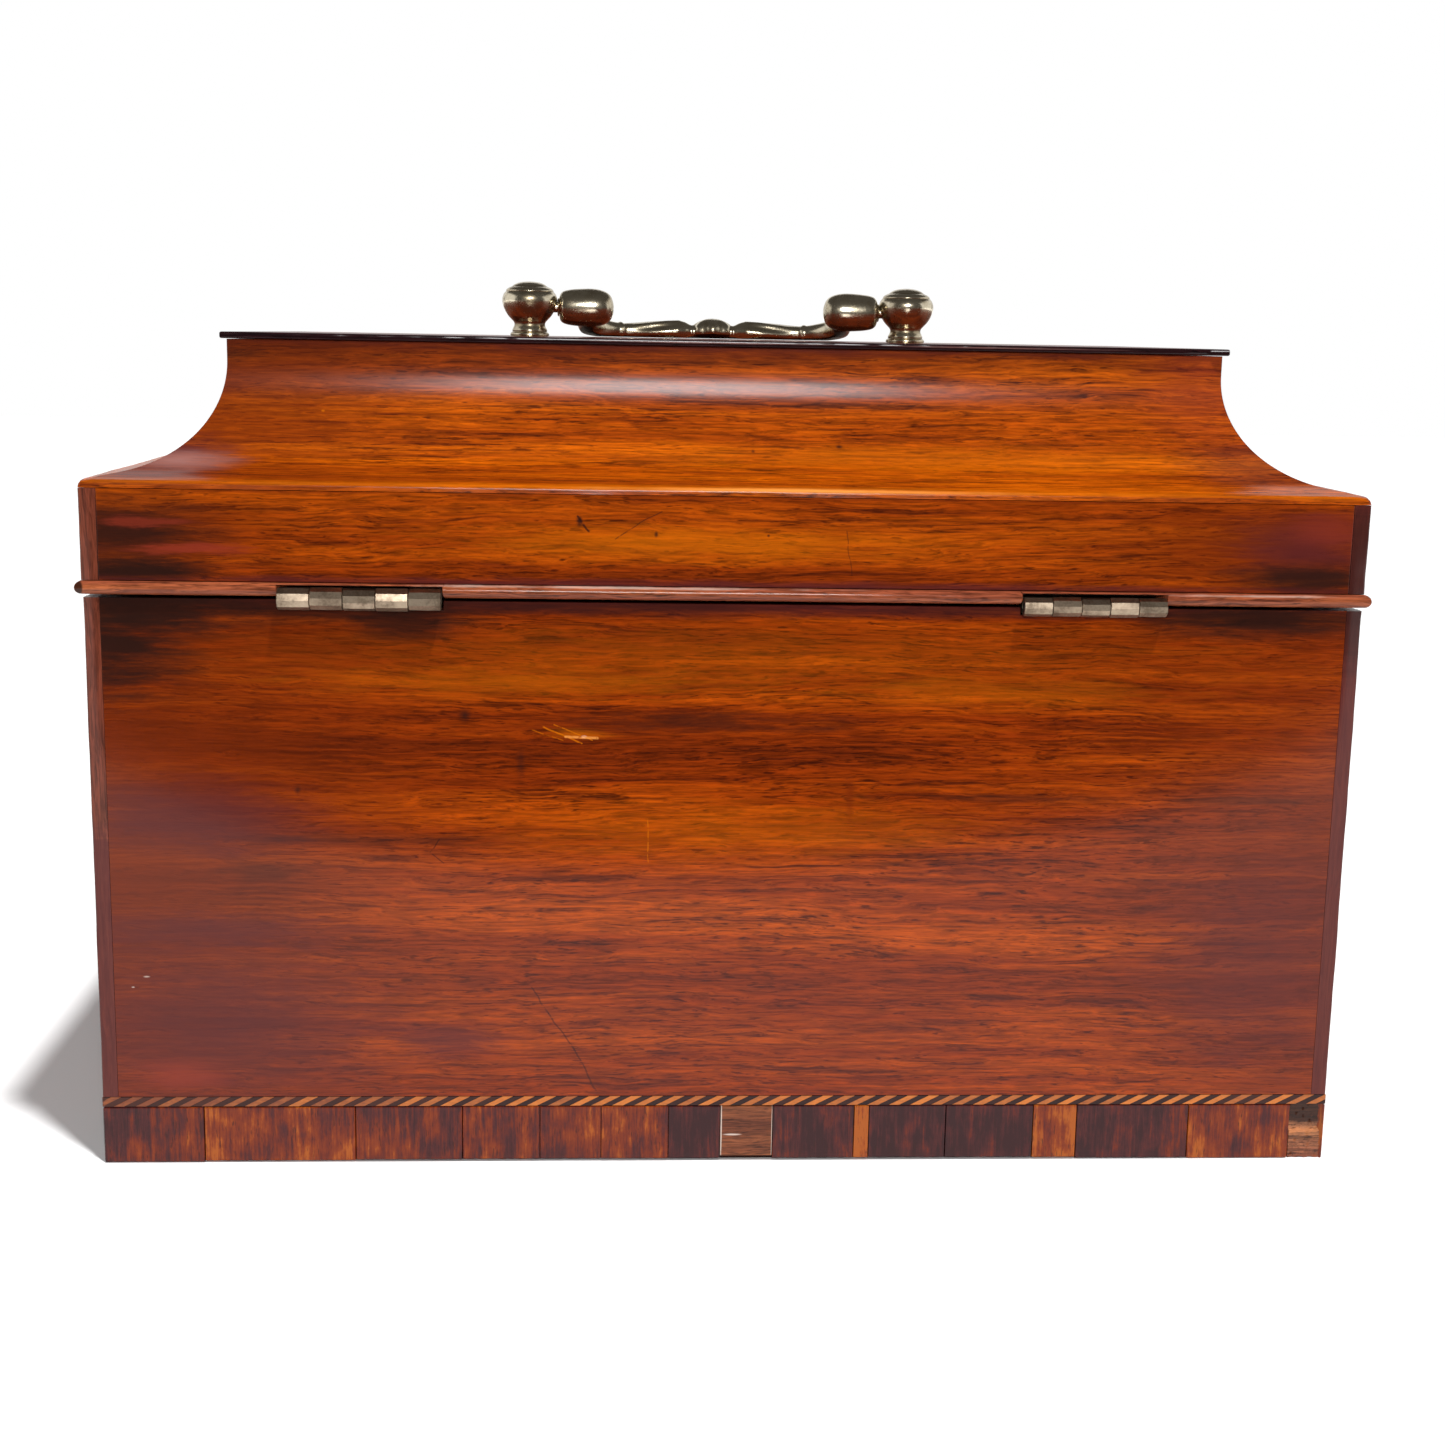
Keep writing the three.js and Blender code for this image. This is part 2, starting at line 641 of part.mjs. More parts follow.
/** The drop handle, lying towards the front: a swept bar with round ends and a button in the middle. */
function dropHandle() {
  const halfPath = handlePath.map(
    ([inset, share]) => new THREE.Vector3(postSpacing / 2 - inset, -share * gripReach, 0),
  );
  const otherHalf = halfPath.slice(0, -1).reverse().map((p) => new THREE.Vector3(-p.x, p.y, 0));
  const line = new THREE.CatmullRomCurve3([...halfPath, ...otherHalf], false, "centripetal");
  const up = new THREE.Vector3(0, 0, 1);

  const steps = 56;
  const bar = new THREE.CylinderGeometry(1, 1, 1, 12, steps);
  const at = bar.attributes.position;
  for (let i = 0; i < at.count; i++) {
    const share = THREE.MathUtils.clamp(0.5 - at.getY(i), 0, 1);
    const point = line.getPointAt(share);
    const side = new THREE.Vector3().crossVectors(up, line.getTangentAt(share)).normalize();
    const [halfWide, halfTall] = sectionAt(1 - Math.abs(1 - 2 * share));
    const flatBelow = Math.max(at.getZ(i), -0.72); // the underside is cast flat
    point.addScaledVector(side, at.getX(i) * halfWide).addScaledVector(up, flatBelow * halfTall);
    at.setXYZ(i, point.x, point.y, point.z);
  }

  const pins = [-1, 1].map((sign) => rodX(handlePin, ...pinSpan(sign, 0), 0, 0, 12));
  const button = new THREE.SphereGeometry(1, 16, 10).scale(4.2, 3.6, 2.4).translate(0, -gripReach, 0);
  const tilt = Math.asin((pivotRise - gripRest - gripUnder) / gripReach);
  const made = join(bar, ...pins, button).rotateX(tilt);
  const below = [-pivotRise - gripReach, -pivotRise + gripRest];
  return cut(made, block([-postSpacing, postSpacing], [-2 * gripReach, gripReach], below));
}

function buildHandle() {
  for (const [side, sign] of [["left", -1], ["right", 1]]) {
    const x = (sign * postSpacing) / 2;
    const post = turned(postProfile, 24).translate(x, 0, capTop);
    const socket = rodX(handlePin + turnGap, ...pinSpan(sign, 0.4), 0, pivotZ, 12);
    addMesh(`handle_post_${side}`, cut(post, socket), agedBrass);
    const nut = addMesh(`handle_nut_${side}`, shankNut(), steel);
    nut.position.set(x, 0, capBottom - topBoardThick - seam - nutThick);
  }
  addMesh("handle_bail", dropHandle().translate(0, 0, pivotZ), agedBrass);
}

// ---------------------------------------------------------------- tea lids

const knobProfile = [
  [0, -teaLidThick + 1],
  [1.6, -teaLidThick + 1],
  [1.6, seam],
  [knobRadius * 0.7, seam],
  [knobRadius * 0.7, 0.9],
  [knobRadius * 0.4, 1.8],
  [knobRadius * 0.36, 3.2],
  [knobRadius * 0.75, 4.6],
  [knobRadius, 6.2],
  [knobRadius * 0.85, 7.8],
  [knobRadius * 0.45, 8.7],
  [0, knobHeight],
];

function buildTeaLids() {
  const outerX = boxHalfX - innerEdge - teaLidGap;
  const outerY = boxHalfY - innerEdge - teaLidGap;
  const innerX = partitionTop / 2 + teaLidGap;
  for (const [side, sign] of [["left", -1], ["right", 1]]) {
    const x = [sign * innerX, sign * outerX].sort((a, b) => a - b);
    const middle = (x[0] + x[1]) / 2;
    const board = block(x, [-outerY, outerY], [teaLidBottom, teaLidTop]);
    const hole = rodZ(1.6 + seam, teaLidBottom + 0.8, teaLidTop + 1, middle, 0);
    addMesh(`tea_lid_${side}`, cut(board, hole), mahogany);
    addMesh(`tea_lid_knob_${side}`, turned(knobProfile, 20).translate(middle, 0, teaLidTop), agedBrass);
  }
}

buildBox();
buildHinges();
buildLock();
buildLid();
buildHandle();
buildTeaLids();

export default caddy;
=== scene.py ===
import json
import math

import bmesh
import bpy
import numpy as np
from mathutils import Matrix, Vector

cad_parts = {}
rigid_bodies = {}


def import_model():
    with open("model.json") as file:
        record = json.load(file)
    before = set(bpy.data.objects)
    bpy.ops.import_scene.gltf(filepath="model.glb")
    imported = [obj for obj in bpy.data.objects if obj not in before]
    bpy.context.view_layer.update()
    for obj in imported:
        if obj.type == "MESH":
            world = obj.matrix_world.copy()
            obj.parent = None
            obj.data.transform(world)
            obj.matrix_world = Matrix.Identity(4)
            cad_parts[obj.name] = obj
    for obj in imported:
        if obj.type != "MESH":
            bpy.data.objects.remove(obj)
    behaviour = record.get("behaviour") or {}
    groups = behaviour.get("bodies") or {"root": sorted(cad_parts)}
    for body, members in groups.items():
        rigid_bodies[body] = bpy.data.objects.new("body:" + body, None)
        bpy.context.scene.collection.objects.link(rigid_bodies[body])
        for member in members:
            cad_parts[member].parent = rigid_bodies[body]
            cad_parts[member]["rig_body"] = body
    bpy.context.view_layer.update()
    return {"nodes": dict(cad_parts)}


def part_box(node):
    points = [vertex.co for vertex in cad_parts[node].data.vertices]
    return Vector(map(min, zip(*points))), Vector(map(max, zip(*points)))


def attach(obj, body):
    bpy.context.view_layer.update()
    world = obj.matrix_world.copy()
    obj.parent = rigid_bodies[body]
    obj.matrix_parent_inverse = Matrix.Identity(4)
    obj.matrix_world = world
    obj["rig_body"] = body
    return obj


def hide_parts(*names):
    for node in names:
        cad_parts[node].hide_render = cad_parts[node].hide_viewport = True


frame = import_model()

# A mahogany tea caddy, made up in millimetres and put into the meshes in metres.
# Its lid is hinged at +Y. The four faces are called front, back, left and right.
MM = 0.001


# ------------------------------------------------------------------ places taken from the frame

def corners(node):
    """Lowest and highest corner of a CAD node, in millimetres."""
    low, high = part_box(node)
    return np.array(low) / MM, np.array(high) / MM


def heights(node):
    """The heights between which a CAD node lies."""
    low, high = corners(node)
    return low[2], high[2]


def middle(node):
    """The middle of a CAD node, in millimetres."""
    low, high = corners(node)
    return (low + high) / 2


BOX_HALF = (corners("crossband_right")[1][0], corners("crossband_back")[1][1])
LID_HALF = (corners("lid_rim_right")[1][0], corners("lid_rim_back")[1][1])
CAP_HALF = corners("lid_top_panel")[1][:2]
BAND_TOP = corners("crossband_back")[1][2]
STRING_Z = heights("rope_stringing")
COVE_Z = heights("lid_cove_back")
CAP_TOP = corners("lid_top_panel")[1][2]
BEAD_Z = heights("lid_bead_front")

FACES = ("back", "front", "left", "right")


def half_length(face, half):
    """Half the length of a face of a rectangle with these half sizes."""
    return half[0] if face in ("back", "front") else half[1]


def on_face(face, half, along, inset, z):
    """Points from a distance along a face, an inset from it and a height, as one array of x, y, z."""
    along, inset, z = np.broadcast_arrays(along, inset, z)
    if face == "back":
        return np.stack([along, half[1] - inset, z], -1)
    if face == "front":
        return np.stack([-along, inset - half[1], z], -1)
    if face == "left":
        return np.stack([inset - half[0], along, z], -1)
    return np.stack([half[0] - inset, -along, z], -1)


# ------------------------------------------------------------------ seeded variation

def waves(values, seed, coarse):
    """Smooth seeded variation: the sum of five sine waves, from a coarse length down to a ninth of it."""
    rng = np.random.default_rng(seed)
    lengths = np.geomspace(coarse, coarse / 9, 5)
    total = np.zeros(np.shape(values))
    for length in lengths:
        phase = np.asarray(values) / length + rng.random()
        total = total + np.sin(2 * np.pi * phase) * (length / coarse) ** 0.6
    return total / 2.2


def bump(values, centre, width):
    """One smooth hump: a bell that is 1 at its centre and falls off over the width."""
    return np.exp(-(((np.asarray(values) - centre) / width) ** 2))


def through(points, count):
    """A smooth line through the points: Catmull-Rom spans, sampled evenly in the points' own parameter."""
    points = np.asarray(points, float)
    padded = np.vstack([2 * points[0] - points[1], points, 2 * points[-1] - points[-2]])
    t = np.linspace(0, len(points) - 1, count)
    span = np.minimum(t.astype(int), len(points) - 2)
    f = (t - span)[:, None]
    a, b, c, d = (padded[span + k] for k in range(4))
    return 0.5 * (2 * b + (c - a) * f + (2 * a - 5 * b + 4 * c - d) * f**2 + (3 * b - a - 3 * c + d) * f**3)


def shown(name, data):
    """A new object with this data, put into the scene."""
    made = bpy.data.objects.new(name, data)
    bpy.context.scene.collection.objects.link(made)
    return made


# ------------------------------------------------------------------ meshes from grids

def round_turn(sides):
    """Angles evenly round a full turn."""
    return np.linspace(0, 2 * np.pi, sides, endpoint=False)


def grid_faces(rows, cols, wrap_rows=False, wrap_cols=False):
    """Quads of a grid: each joins a point to its neighbours one row on and one column on."""
    r = np.arange(rows if wrap_rows else rows - 1)[:, None]
    c = np.arange(cols if wrap_cols else cols - 1)[None, :]
    r_next = (r + 1) % rows
    c_next = (c + 1) % cols
    near, far = r * cols, r_next * cols
    quads = np.stack(np.broadcast_arrays(near + c, near + c_next, far + c_next, far + c), -1)
    return quads.reshape(-1, 4).tolist()


def closed_bar(grid):
    """A shell from rings of points: the rings are joined in order and the first and last are filled in."""
    rows, cols = grid.shape[:2]
    faces = grid_faces(rows, cols, wrap_cols=True)
    faces.append(list(range(cols)))
    faces.append(list(range((rows - 1) * cols, rows * cols))[::-1])
    return grid.reshape(-1, 3), faces


def turned(profile, sides, centre=(0, 0, 0)):
    """A turned shape: the profile of radius against height goes round Z. An end on the axis is a point."""
    profile = np.asarray(profile, float)
    turn = round_turn(sides)
    r = profile[:, 0, None]
    grid = np.stack(np.broadcast_arrays(r * np.cos(turn), r * np.sin(turn), profile[:, 1, None]), -1)
    return (grid + np.asarray(centre, float)).reshape(-1, 3), grid_faces(len(profile), sides, wrap_cols=True)


def joined(shells):
    """Several shells of points and faces as one."""
    points, faces, start = [], [], 0
    for shell_points, shell_faces in shells:
        points.append(shell_points)
        faces += [[i + start for i in face] for face in shell_faces]
        start += len(shell_points)
    return np.concatenate(points), faces


def piece(name, shell, material, body, stands_for=(), sharp=40, values=None):
    """Makes a shown piece of a shell in millimetres. Doubles are merged and faces turned outwards.
    values maps an attribute's name to one number for each point."""
    points, faces = shell
    mesh = bpy.data.meshes.new(name)
    mesh.from_pydata((np.asarray(points) * MM).tolist(), [], faces)
    for label, numbers in (values or {}).items():
        layer = mesh.attributes.new(label, "FLOAT", "POINT")
        layer.data.foreach_set("value", np.asarray(numbers, np.float32).ravel())
    return finish_piece(name, mesh, material, body, stands_for, sharp)


def finish_piece(name, mesh, material, body, stands_for, sharp):
    work = bmesh.new()
    work.from_mesh(mesh)
    bmesh.ops.remove_doubles(work, verts=work.verts, dist=1e-6)
    bmesh.ops.recalc_face_normals(work, faces=work.faces)
    work.to_mesh(mesh)
    work.free()
    mesh.shade_smooth()
    mesh.set_sharp_from_angle(angle=math.radians(sharp))
    mesh.materials.append(material)
    made = shown(name, mesh)
    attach(made, body)
    if stands_for:
        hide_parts(*stands_for)
    return made


def soften(made, width, segments):
    """Rounds the edges of a piece over, by a width in millimetres."""
    rounding = made.modifiers.new("rounded_edges", "BEVEL")
    rounding.width = width * MM
    rounding.segments = segments
    rounding.limit_method = "ANGLE"
    rounding.angle_limit = math.radians(35)
    made.data.shade_flat()
    return made


def worn_copy(node, material, width=0.2, segments=2):
    """A copy of a CAD node with merged points, flat faces joined up and its edges rubbed round."""
    source = frame["nodes"][node]
    mesh = source.data.copy()
    mesh.materials.clear()
    work = bmesh.new()
    work.from_mesh(mesh)
    bmesh.ops.remove_doubles(work, verts=work.verts, dist=2e-6)
    bmesh.ops.dissolve_limit(work, angle_limit=math.radians(0.6), verts=work.verts, edges=work.edges)
    work.to_mesh(mesh)
    work.free()
    made = finish_piece(node + "_worn", mesh, material, source["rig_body"], [node], 30)
    return soften(made, width, segments)


# ------------------------------------------------------------------ shader wiring

class Bench:
    """Lays out the nodes of one tree. Each method adds a node and hands back the socket that matters."""

    def __init__(self, tree):
        self.tree = tree

    def feed(self, socket, value):
        """Links a socket to an output, or sets its own value."""
        if isinstance(value, bpy.types.NodeSocket):
            self.tree.links.new(value, socket)
        else:
            socket.default_value = value

    def add(self, kind, inputs=None, **settings):
        made = self.tree.nodes.new(kind)
        for key, value in settings.items():
            setattr(made, key, value)
        for key, value in (inputs or {}).items():
            self.feed(made.inputs[key], value)
        return made

    def math(self, operation, a, b=0.0, clamp=False):
        return self.add("ShaderNodeMath", {0: a, 1: b}, operation=operation, use_clamp=clamp).outputs[0]

    def times(self, a, b, clamp=False):
        return self.math("MULTIPLY", a, b, clamp)

    def plus(self, a, b, clamp=False):
        return self.math("ADD", a, b, clamp)

    def minus(self, a, b):
        return self.math("SUBTRACT", a, b)

    def scaled(self, vector, by):
        return self.vector("MULTIPLY", vector, by)

    def vector(self, operation, a, b=(0, 0, 0)):
        return self.add("ShaderNodeVectorMath", {0: a, 1: b}, operation=operation).outputs[0]

    def span(self, value, low, high, to_low=0.0, to_high=1.0):
        """Eases a value from one range to another and stops at its ends."""
        inputs = {0: value, 1: low, 2: high, 3: to_low, 4: to_high}
        return self.add("ShaderNodeMapRange", inputs, interpolation_type="SMOOTHSTEP").outputs[0]

    def noise(self, vector, scale=1.0, detail=2.0, roughness=0.5):
        inputs = {"Vector": vector, "Scale": scale, "Detail": detail, "Roughness": roughness}
        return self.add("ShaderNodeTexNoise", inputs).outputs[0]

    def mix(self, factor, a, b, blend="MIX"):
        inputs = {0: factor, 6: a, 7: b}
        return self.add("ShaderNodeMix", inputs, data_type="RGBA", blend_type=blend).outputs[2]

    def relief(self, strength, distance, height):
        """A surface direction bent by a height, over a distance in metres."""
        inputs = {"Strength": strength, "Distance": distance, "Height": height}
        return self.add("ShaderNodeBump", inputs).outputs[0]

    def spread(self, x, y, z):
        return self.add("ShaderNodeCombineXYZ", {0: x, 1: y, 2: z}).outputs[0]

    def sized(self, vector, by):
        return self.add("ShaderNodeVectorMath", {0: vector, 3: by}, operation="SCALE").outputs[0]

    def measure(self, operation, a, b=(0, 0, 0)):
        """A vector operation that gives a number."""
        return self.add("ShaderNodeVectorMath", {0: a, 1: b}, operation=operation).outputs["Value"]

    def placed(self, tree, inputs):
        """Places a node group and feeds its inputs."""
        made = self.tree.nodes.new("ShaderNodeGroup")
        made.node_tree = tree
        for key, value in inputs.items():
            self.feed(made.inputs[key], value)
        return made


def new_group(name, inputs, outputs):
    """An empty node group with these sockets, its bench, its input node and its output node. The length of
    an input's first value gives its kind: one number, a vector of three, or a colour of four."""
    kinds = {1: "NodeSocketFloat", 3: "NodeSocketVector", 4: "NodeSocketColor"}
    tree = bpy.data.node_groups.new(name, "ShaderNodeTree")
    for label, value in inputs.items():
        socket = tree.interface.new_socket(label, in_out="INPUT", socket_type=kinds[np.size(value)])
        socket.default_value = value
    for label in outputs:
        kind = kinds[4 if label == "Colour" else 1]
        tree.interface.new_socket(label, in_out="OUTPUT", socket_type=kind)
    given = tree.nodes.new("NodeGroupInput").outputs
    return tree, Bench(tree), given, tree.nodes.new("NodeGroupOutput").inputs


def rgb(red, green, blue):
    return (red, green, blue, 1.0)


def figured_wood_group():
    """Solid wood whose grain runs along X. Broad bands, narrower streaks and fine fibres are noises that
    are stretched along the grain and bent by a slow wave. Pores are short dark dashes, thickest in the
    streaks."""
    tree, b, given, out = new_group(
        "figured_wood",
        {
            "Place": (0, 0, 0),
            "Shift": 0.0,
            "Bright": rgb(0.6, 0.2, 0.02),
            "Middle": rgb(0.35, 0.08, 0.01),
            "Deep": rgb(0.1, 0.02, 0.005),
            "Bands": 1.0,
            "Streaks": 1.0,
            "Pores": 1.0,
        },
        ["Colour", "Pores", "Height"],
    )
    mm = b.scaled(given["Place"], (1000, 1000, 1000))
    offset = b.sized((37.0, 11.3, 23.7), given["Shift"])
    at = b.vector("ADD", mm, offset)
    slow = b.minus(b.noise(b.scaled(at, (0.007, 0.022, 0.022)), detail=1.0), 0.5)
    bend = b.spread(0.0, b.times(slow, 6.0), b.times(slow, 9.0))
    ripple = b.minus(b.noise(b.scaled(at, (0.06, 0.3, 0.3)), detail=2.0), 0.5)
    ripples = b.spread(0.0, b.times(ripple, 2.4), b.times(ripple, 2.4))
    bent = b.vector("ADD", b.vector("ADD", at, bend), ripples)

    broad = b.noise(b.scaled(bent, (0.005, 0.15, 0.15)), detail=4.0, roughness=0.66)
    streak = b.noise(b.scaled(bent, (0.026, 0.85, 0.85)), detail=4.0, roughness=0.68)
    fibre = b.noise(b.scaled(bent, (0.11, 2.3, 2.3)), detail=3.0, roughness=0.7)
    dash = b.noise(b.scaled(bent, (0.3, 2.9, 2.9)), detail=2.0, roughness=0.55)
    cloud = b.noise(b.scaled(at, (0.05, 0.09, 0.09)), detail=2.0)

    lit = b.times(b.span(broad, 0.42, 0.66), given["Bands"], clamp=True)
    colour = b.mix(lit, given["Middle"], given["Bright"])
    shade = b.times(b.span(streak, 0.47, 0.72), given["Streaks"], clamp=True)
    colour = b.mix(b.times(shade, 0.85), colour, given["Deep"])
    low_band = b.times(b.span(broad, 0.47, 0.3), given["Bands"], clamp=True)
    colour = b.mix(b.times(low_band, 0.45), colour, given["Deep"])
    grey = b.span(fibre, 0.22, 0.78, 0.42, 1.6)
    tone = b.add("ShaderNodeCombineColor", {0: grey, 1: grey, 2: grey}).outputs[0]
    colour = b.mix(1.0, colour, tone, "MULTIPLY")

    crowd = b.span(b.plus(b.times(streak, 0.6), b.times(cloud, 0.5)), 0.4, 0.68)
    limit = b.minus(0.66, b.times(crowd, 0.13))
    pore = b.times(b.minus(dash, limit), 9.0, clamp=True)
    pore = b.times(pore, given["Pores"], clamp=True)
    in_pores = b.mix(1.0, given["Deep"], rgb(0.5, 0.5, 0.5), "MULTIPLY")
    colour = b.mix(b.times(pore, 0.72), colour, in_pores)
    b.feed(out["Colour"], colour)
    b.feed(out["Pores"], pore)
    b.feed(out["Height"], b.minus(b.times(fibre, 0.25), pore))
    return tree


def spot_group():
    """A soft oval mark on a wall: the distance from its centre across X and Z, over its half sizes, with an
    edge that a noise frays. Mask is 1 inside and 0 outside."""
    tree, b, given, out = new_group(
        "soft_spot",
        {"Place": (0, 0, 0), "Centre": (0, 0, 0), "Size": (1, 1, 1), "Softness": 0.5, "Fray": 0.4},
        ["Mask"],
    )
    mm = b.scaled(given["Place"], (1000, 0, 1000))
    reach = b.vector("DIVIDE", b.vector("SUBTRACT", mm, given["Centre"]), given["Size"])
    distance = b.measure("LENGTH", reach)
    rough = b.minus(b.noise(b.scaled(mm, (0.07, 0.0, 0.6)), detail=5.0, roughness=0.7), 0.5)
    distance = b.plus(distance, b.times(rough, b.times(given["Fray"], 3.0)))
    inner = b.minus(1.0, given["Softness"])
    b.feed(out["Mask"], b.span(distance, 1.0, inner))
    return tree


def scratch_group():
    """A scratch from one point to another: the distance to that stretch of line, against half its width."""
    tree, b, given, out = new_group(
        "scratch",
        {"Place": (0, 0, 0), "From": (0, 0, 0), "To": (0, 0, 0), "Width": 0.2},
        ["Mask"],
    )
    mm = b.scaled(given["Place"], (1000, 0, 1000))
    wobble = b.minus(b.noise(b.scaled(mm, (0.3, 0.0, 0.3)), detail=1.0), 0.5)
    mm = b.vector("ADD", mm, b.spread(wobble, 0.0, 0.0))
    line = b.vector("SUBTRACT", given["To"], given["From"])
    reach = b.vector("SUBTRACT", mm, given["From"])
    dot = b.measure("DOT_PRODUCT", reach, line)
    square = b.measure("DOT_PRODUCT", line, line)
    share = b.math("DIVIDE", dot, square, clamp=True)
    nearest = b.sized(line, share)
    away = b.measure("LENGTH", b.vector("SUBTRACT", reach, nearest))
    broken = b.span(b.noise(b.scaled(mm, (0.9, 0.0, 0.9)), detail=2.0), 0.3, 0.5)
    line_mask = b.span(away, given["Width"], b.times(given["Width"], 0.3))
    b.feed(out["Mask"], b.times(line_mask, broken))
    return tree


def metal_group():
    """Handled old metal: a clean colour and a dull one, parted by cloudy tarnish, with fine pits."""
    tree, b, given, out = new_group(
        "old_metal",
        {
            "Place": (0, 0, 0),
            "Clean": rgb(0.5, 0.4, 0.2),
            "Dull": rgb(0.1, 0.08, 0.04),
            "Tarnish": 0.5,
            "Recess": 0.0,
        },
        ["Colour", "Roughness", "Height"],
    )
    mm = b.scaled(given["Place"], (1000, 1000, 1000))
    cloud = b.noise(mm, scale=0.28, detail=4.0, roughness=0.6)
    fine = b.noise(mm, scale=2.1, detail=3.0, roughness=0.6)
    level = b.plus(b.times(cloud, 0.75), b.times(fine, 0.25))
    edge = b.minus(1.0, given["Tarnish"])
    mask = b.span(level, b.minus(edge, 0.16), b.plus(edge, 0.16))
    mask = b.math("MAXIMUM", mask, given["Recess"])
    b.feed(out["Colour"], b.mix(mask, given["Clean"], given["Dull"]))
    b.feed(out["Roughness"], b.plus(b.times(mask, 0.14), b.times(fine, 0.1)))
    b.feed(out["Height"], b.plus(b.times(fine, 0.6), b.times(cloud, 0.4)))
    return tree


FIGURED_WOOD = figured_wood_group()
SPOT = spot_group()
SCRATCH = scratch_group()
OLD_METAL = metal_group()


def new_material(name, **shader):
    """A material with only a Principled shader, whose own sockets get these constants."""
    made = bpy.data.materials.new(name)
    made.use_nodes = True
    bench = Bench(made.node_tree)
    surface = next(n for n in made.node_tree.nodes if n.type == "BSDF_PRINCIPLED")
    for label, value in shader.items():
        surface.inputs[label.replace("_", " ")].default_value = value
    place = bench.add("ShaderNodeTexCoord").outputs["Object"]
    return made, bench, surface.inputs, place


# Colours for stains and wear, and for painted shade, sheen and highlights, named by colour. The near-black
# one is dirt in some places and painted shade in others.
GRIME_AND_SHADE = rgb(0.018, 0.006, 0.004)
PURPLE = rgb(0.075, 0.012, 0.012)
RED = rgb(0.24, 0.028, 0.012)
BROWN = rgb(0.12, 0.0145, 0.0015)
AMBER = rgb(0.52, 0.12, 0.001)
CHALK = rgb(0.8, 0.68, 0.58)
MILK = rgb(0.5, 0.25, 0.22)
HONEY = rgb(0.8, 0.3, 0.06)


def spot_mask(bench, place, x, z, wide, tall, softness, fray):
    """The mask of a soft spot, in millimetres."""
    oval = {"Place": place, "Centre": (x, 0, z), "Size": (wide, 1, tall)}
    return bench.placed(SPOT, {**oval, "Softness": softness, "Fray": fray}).outputs["Mask"]


def marked(bench, place, colour, spots=(), scratches=()):
    """Lays spots (x, z, half width, half height, softness, fray, colour, strength) and
    scratches (x, z, x, z, width, colour, strength) over a colour, in millimetres."""
    for x, z, wide, tall, softness, fray, tint, strength in spots:
        mask = spot_mask(bench, place, x, z, wide, tall, softness, fray)
        colour = bench.mix(bench.times(mask, strength), colour, tint)
    for x0, z0, x1, z1, width, tint, strength in scratches:
        ends = {"Place": place, "From": (x0, 0, z0), "To": (x1, 0, z1), "Width": width}
        mask = bench.placed(SCRATCH, ends).outputs["Mask"]
        colour = bench.mix(bench.times(mask, strength), colour, tint)
    return colour


def mahogany(
    name, bright, middle, deep, grain="x", shift=0.0, streaks=1.0, pores=1.0, spots=(), scratches=(),
    chatter=(), gloss=0.3, polish=0.12,
):
    """French-polished mahogany with its grain along x, y or z, and its own marks."""
    made, b, surface, place = new_material(
        name, Coat_Weight=0.5, Coat_Roughness=polish, Coat_IOR=1.5, Specular_IOR_Level=0.0
    )
    turn = {"x": (0, 0, 0), "y": (0, 0, math.pi / 2), "z": (0, math.pi / 2, 0)}[grain]
    along = b.add("ShaderNodeMapping", {"Vector": place, "Rotation": turn}).outputs[0]
    figure = {"Place": along, "Shift": shift, "Bright": bright, "Middle": middle, "Deep": deep}
    amounts = {"Bands": 1.0, "Streaks": streaks, "Pores": pores}
    wood = b.placed(FIGURED_WOOD, {**figure, **amounts}).outputs
    colour = marked(b, place, wood["Colour"], spots, scratches)
    for x, z, wide, tall in chatter:
        # Slanting ripples that a plane has left: a fine wave inside a soft spot.
        mask = spot_mask(b, place, x, z, wide, tall, 1.0, 0.5)
        ripples = b.add(
            "ShaderNodeTexWave",
            {"Vector": b.scaled(place, (500, 0, 1000)), "Scale": 0.3, "Distortion": 3.0, "Detail": 2.0},
            bands_direction="Z",
        ).outputs["Fac"]
        dark = b.times(b.times(ripples, mask), 0.6)
        colour = b.mix(dark, colour, deep)
    b.feed(surface["Base Color"], colour)
    worn = b.noise(place, scale=90.0, detail=3.0)
    rough = b.plus(b.span(worn, 0.3, 0.75, gloss - 0.05, gloss + 0.12), b.times(wood["Pores"], 0.2))
    b.feed(surface["Roughness"], rough)
    b.feed(surface["Normal"], b.relief(0.35, 0.00008, wood["Height"]))
    return made


def old_metal(name, clean, dull, tarnish, rough, relief=0.3):
    """Old metal with tarnish, and dark in the hollows where the piece has a recess attribute."""
    made, b, surface, place = new_material(name, Metallic=1.0)
    hollow = b.add("ShaderNodeAttribute", attribute_name="recess").outputs["Fac"]
    inputs = {"Place": place, "Clean": clean, "Dull": dull, "Tarnish": tarnish, "Recess": hollow}
    metal = b.placed(OLD_METAL, inputs).outputs
    b.feed(surface["Base Color"], metal["Colour"])
    b.feed(surface["Roughness"], b.plus(metal["Roughness"], rough))
    b.feed(surface["Normal"], b.relief(relief, 0.0001, metal["Height"]))
    return made


# ------------------------------------------------------------------ finishes

BOX_WOOD = (rgb(0.295, 0.043, 0.0009), rgb(0.177, 0.0205, 0.0007), rgb(0.05, 0.0058, 0.0013))
RIM_WOOD = (rgb(0.315, 0.051, 0.0009), rgb(0.207, 0.0265, 0.0008), rgb(0.06, 0.0073, 0.0014))
COVE_WOOD = (rgb(0.42, 0.077, 0.001), rgb(0.255, 0.038, 0.0009), rgb(0.07, 0.0093, 0.0015))

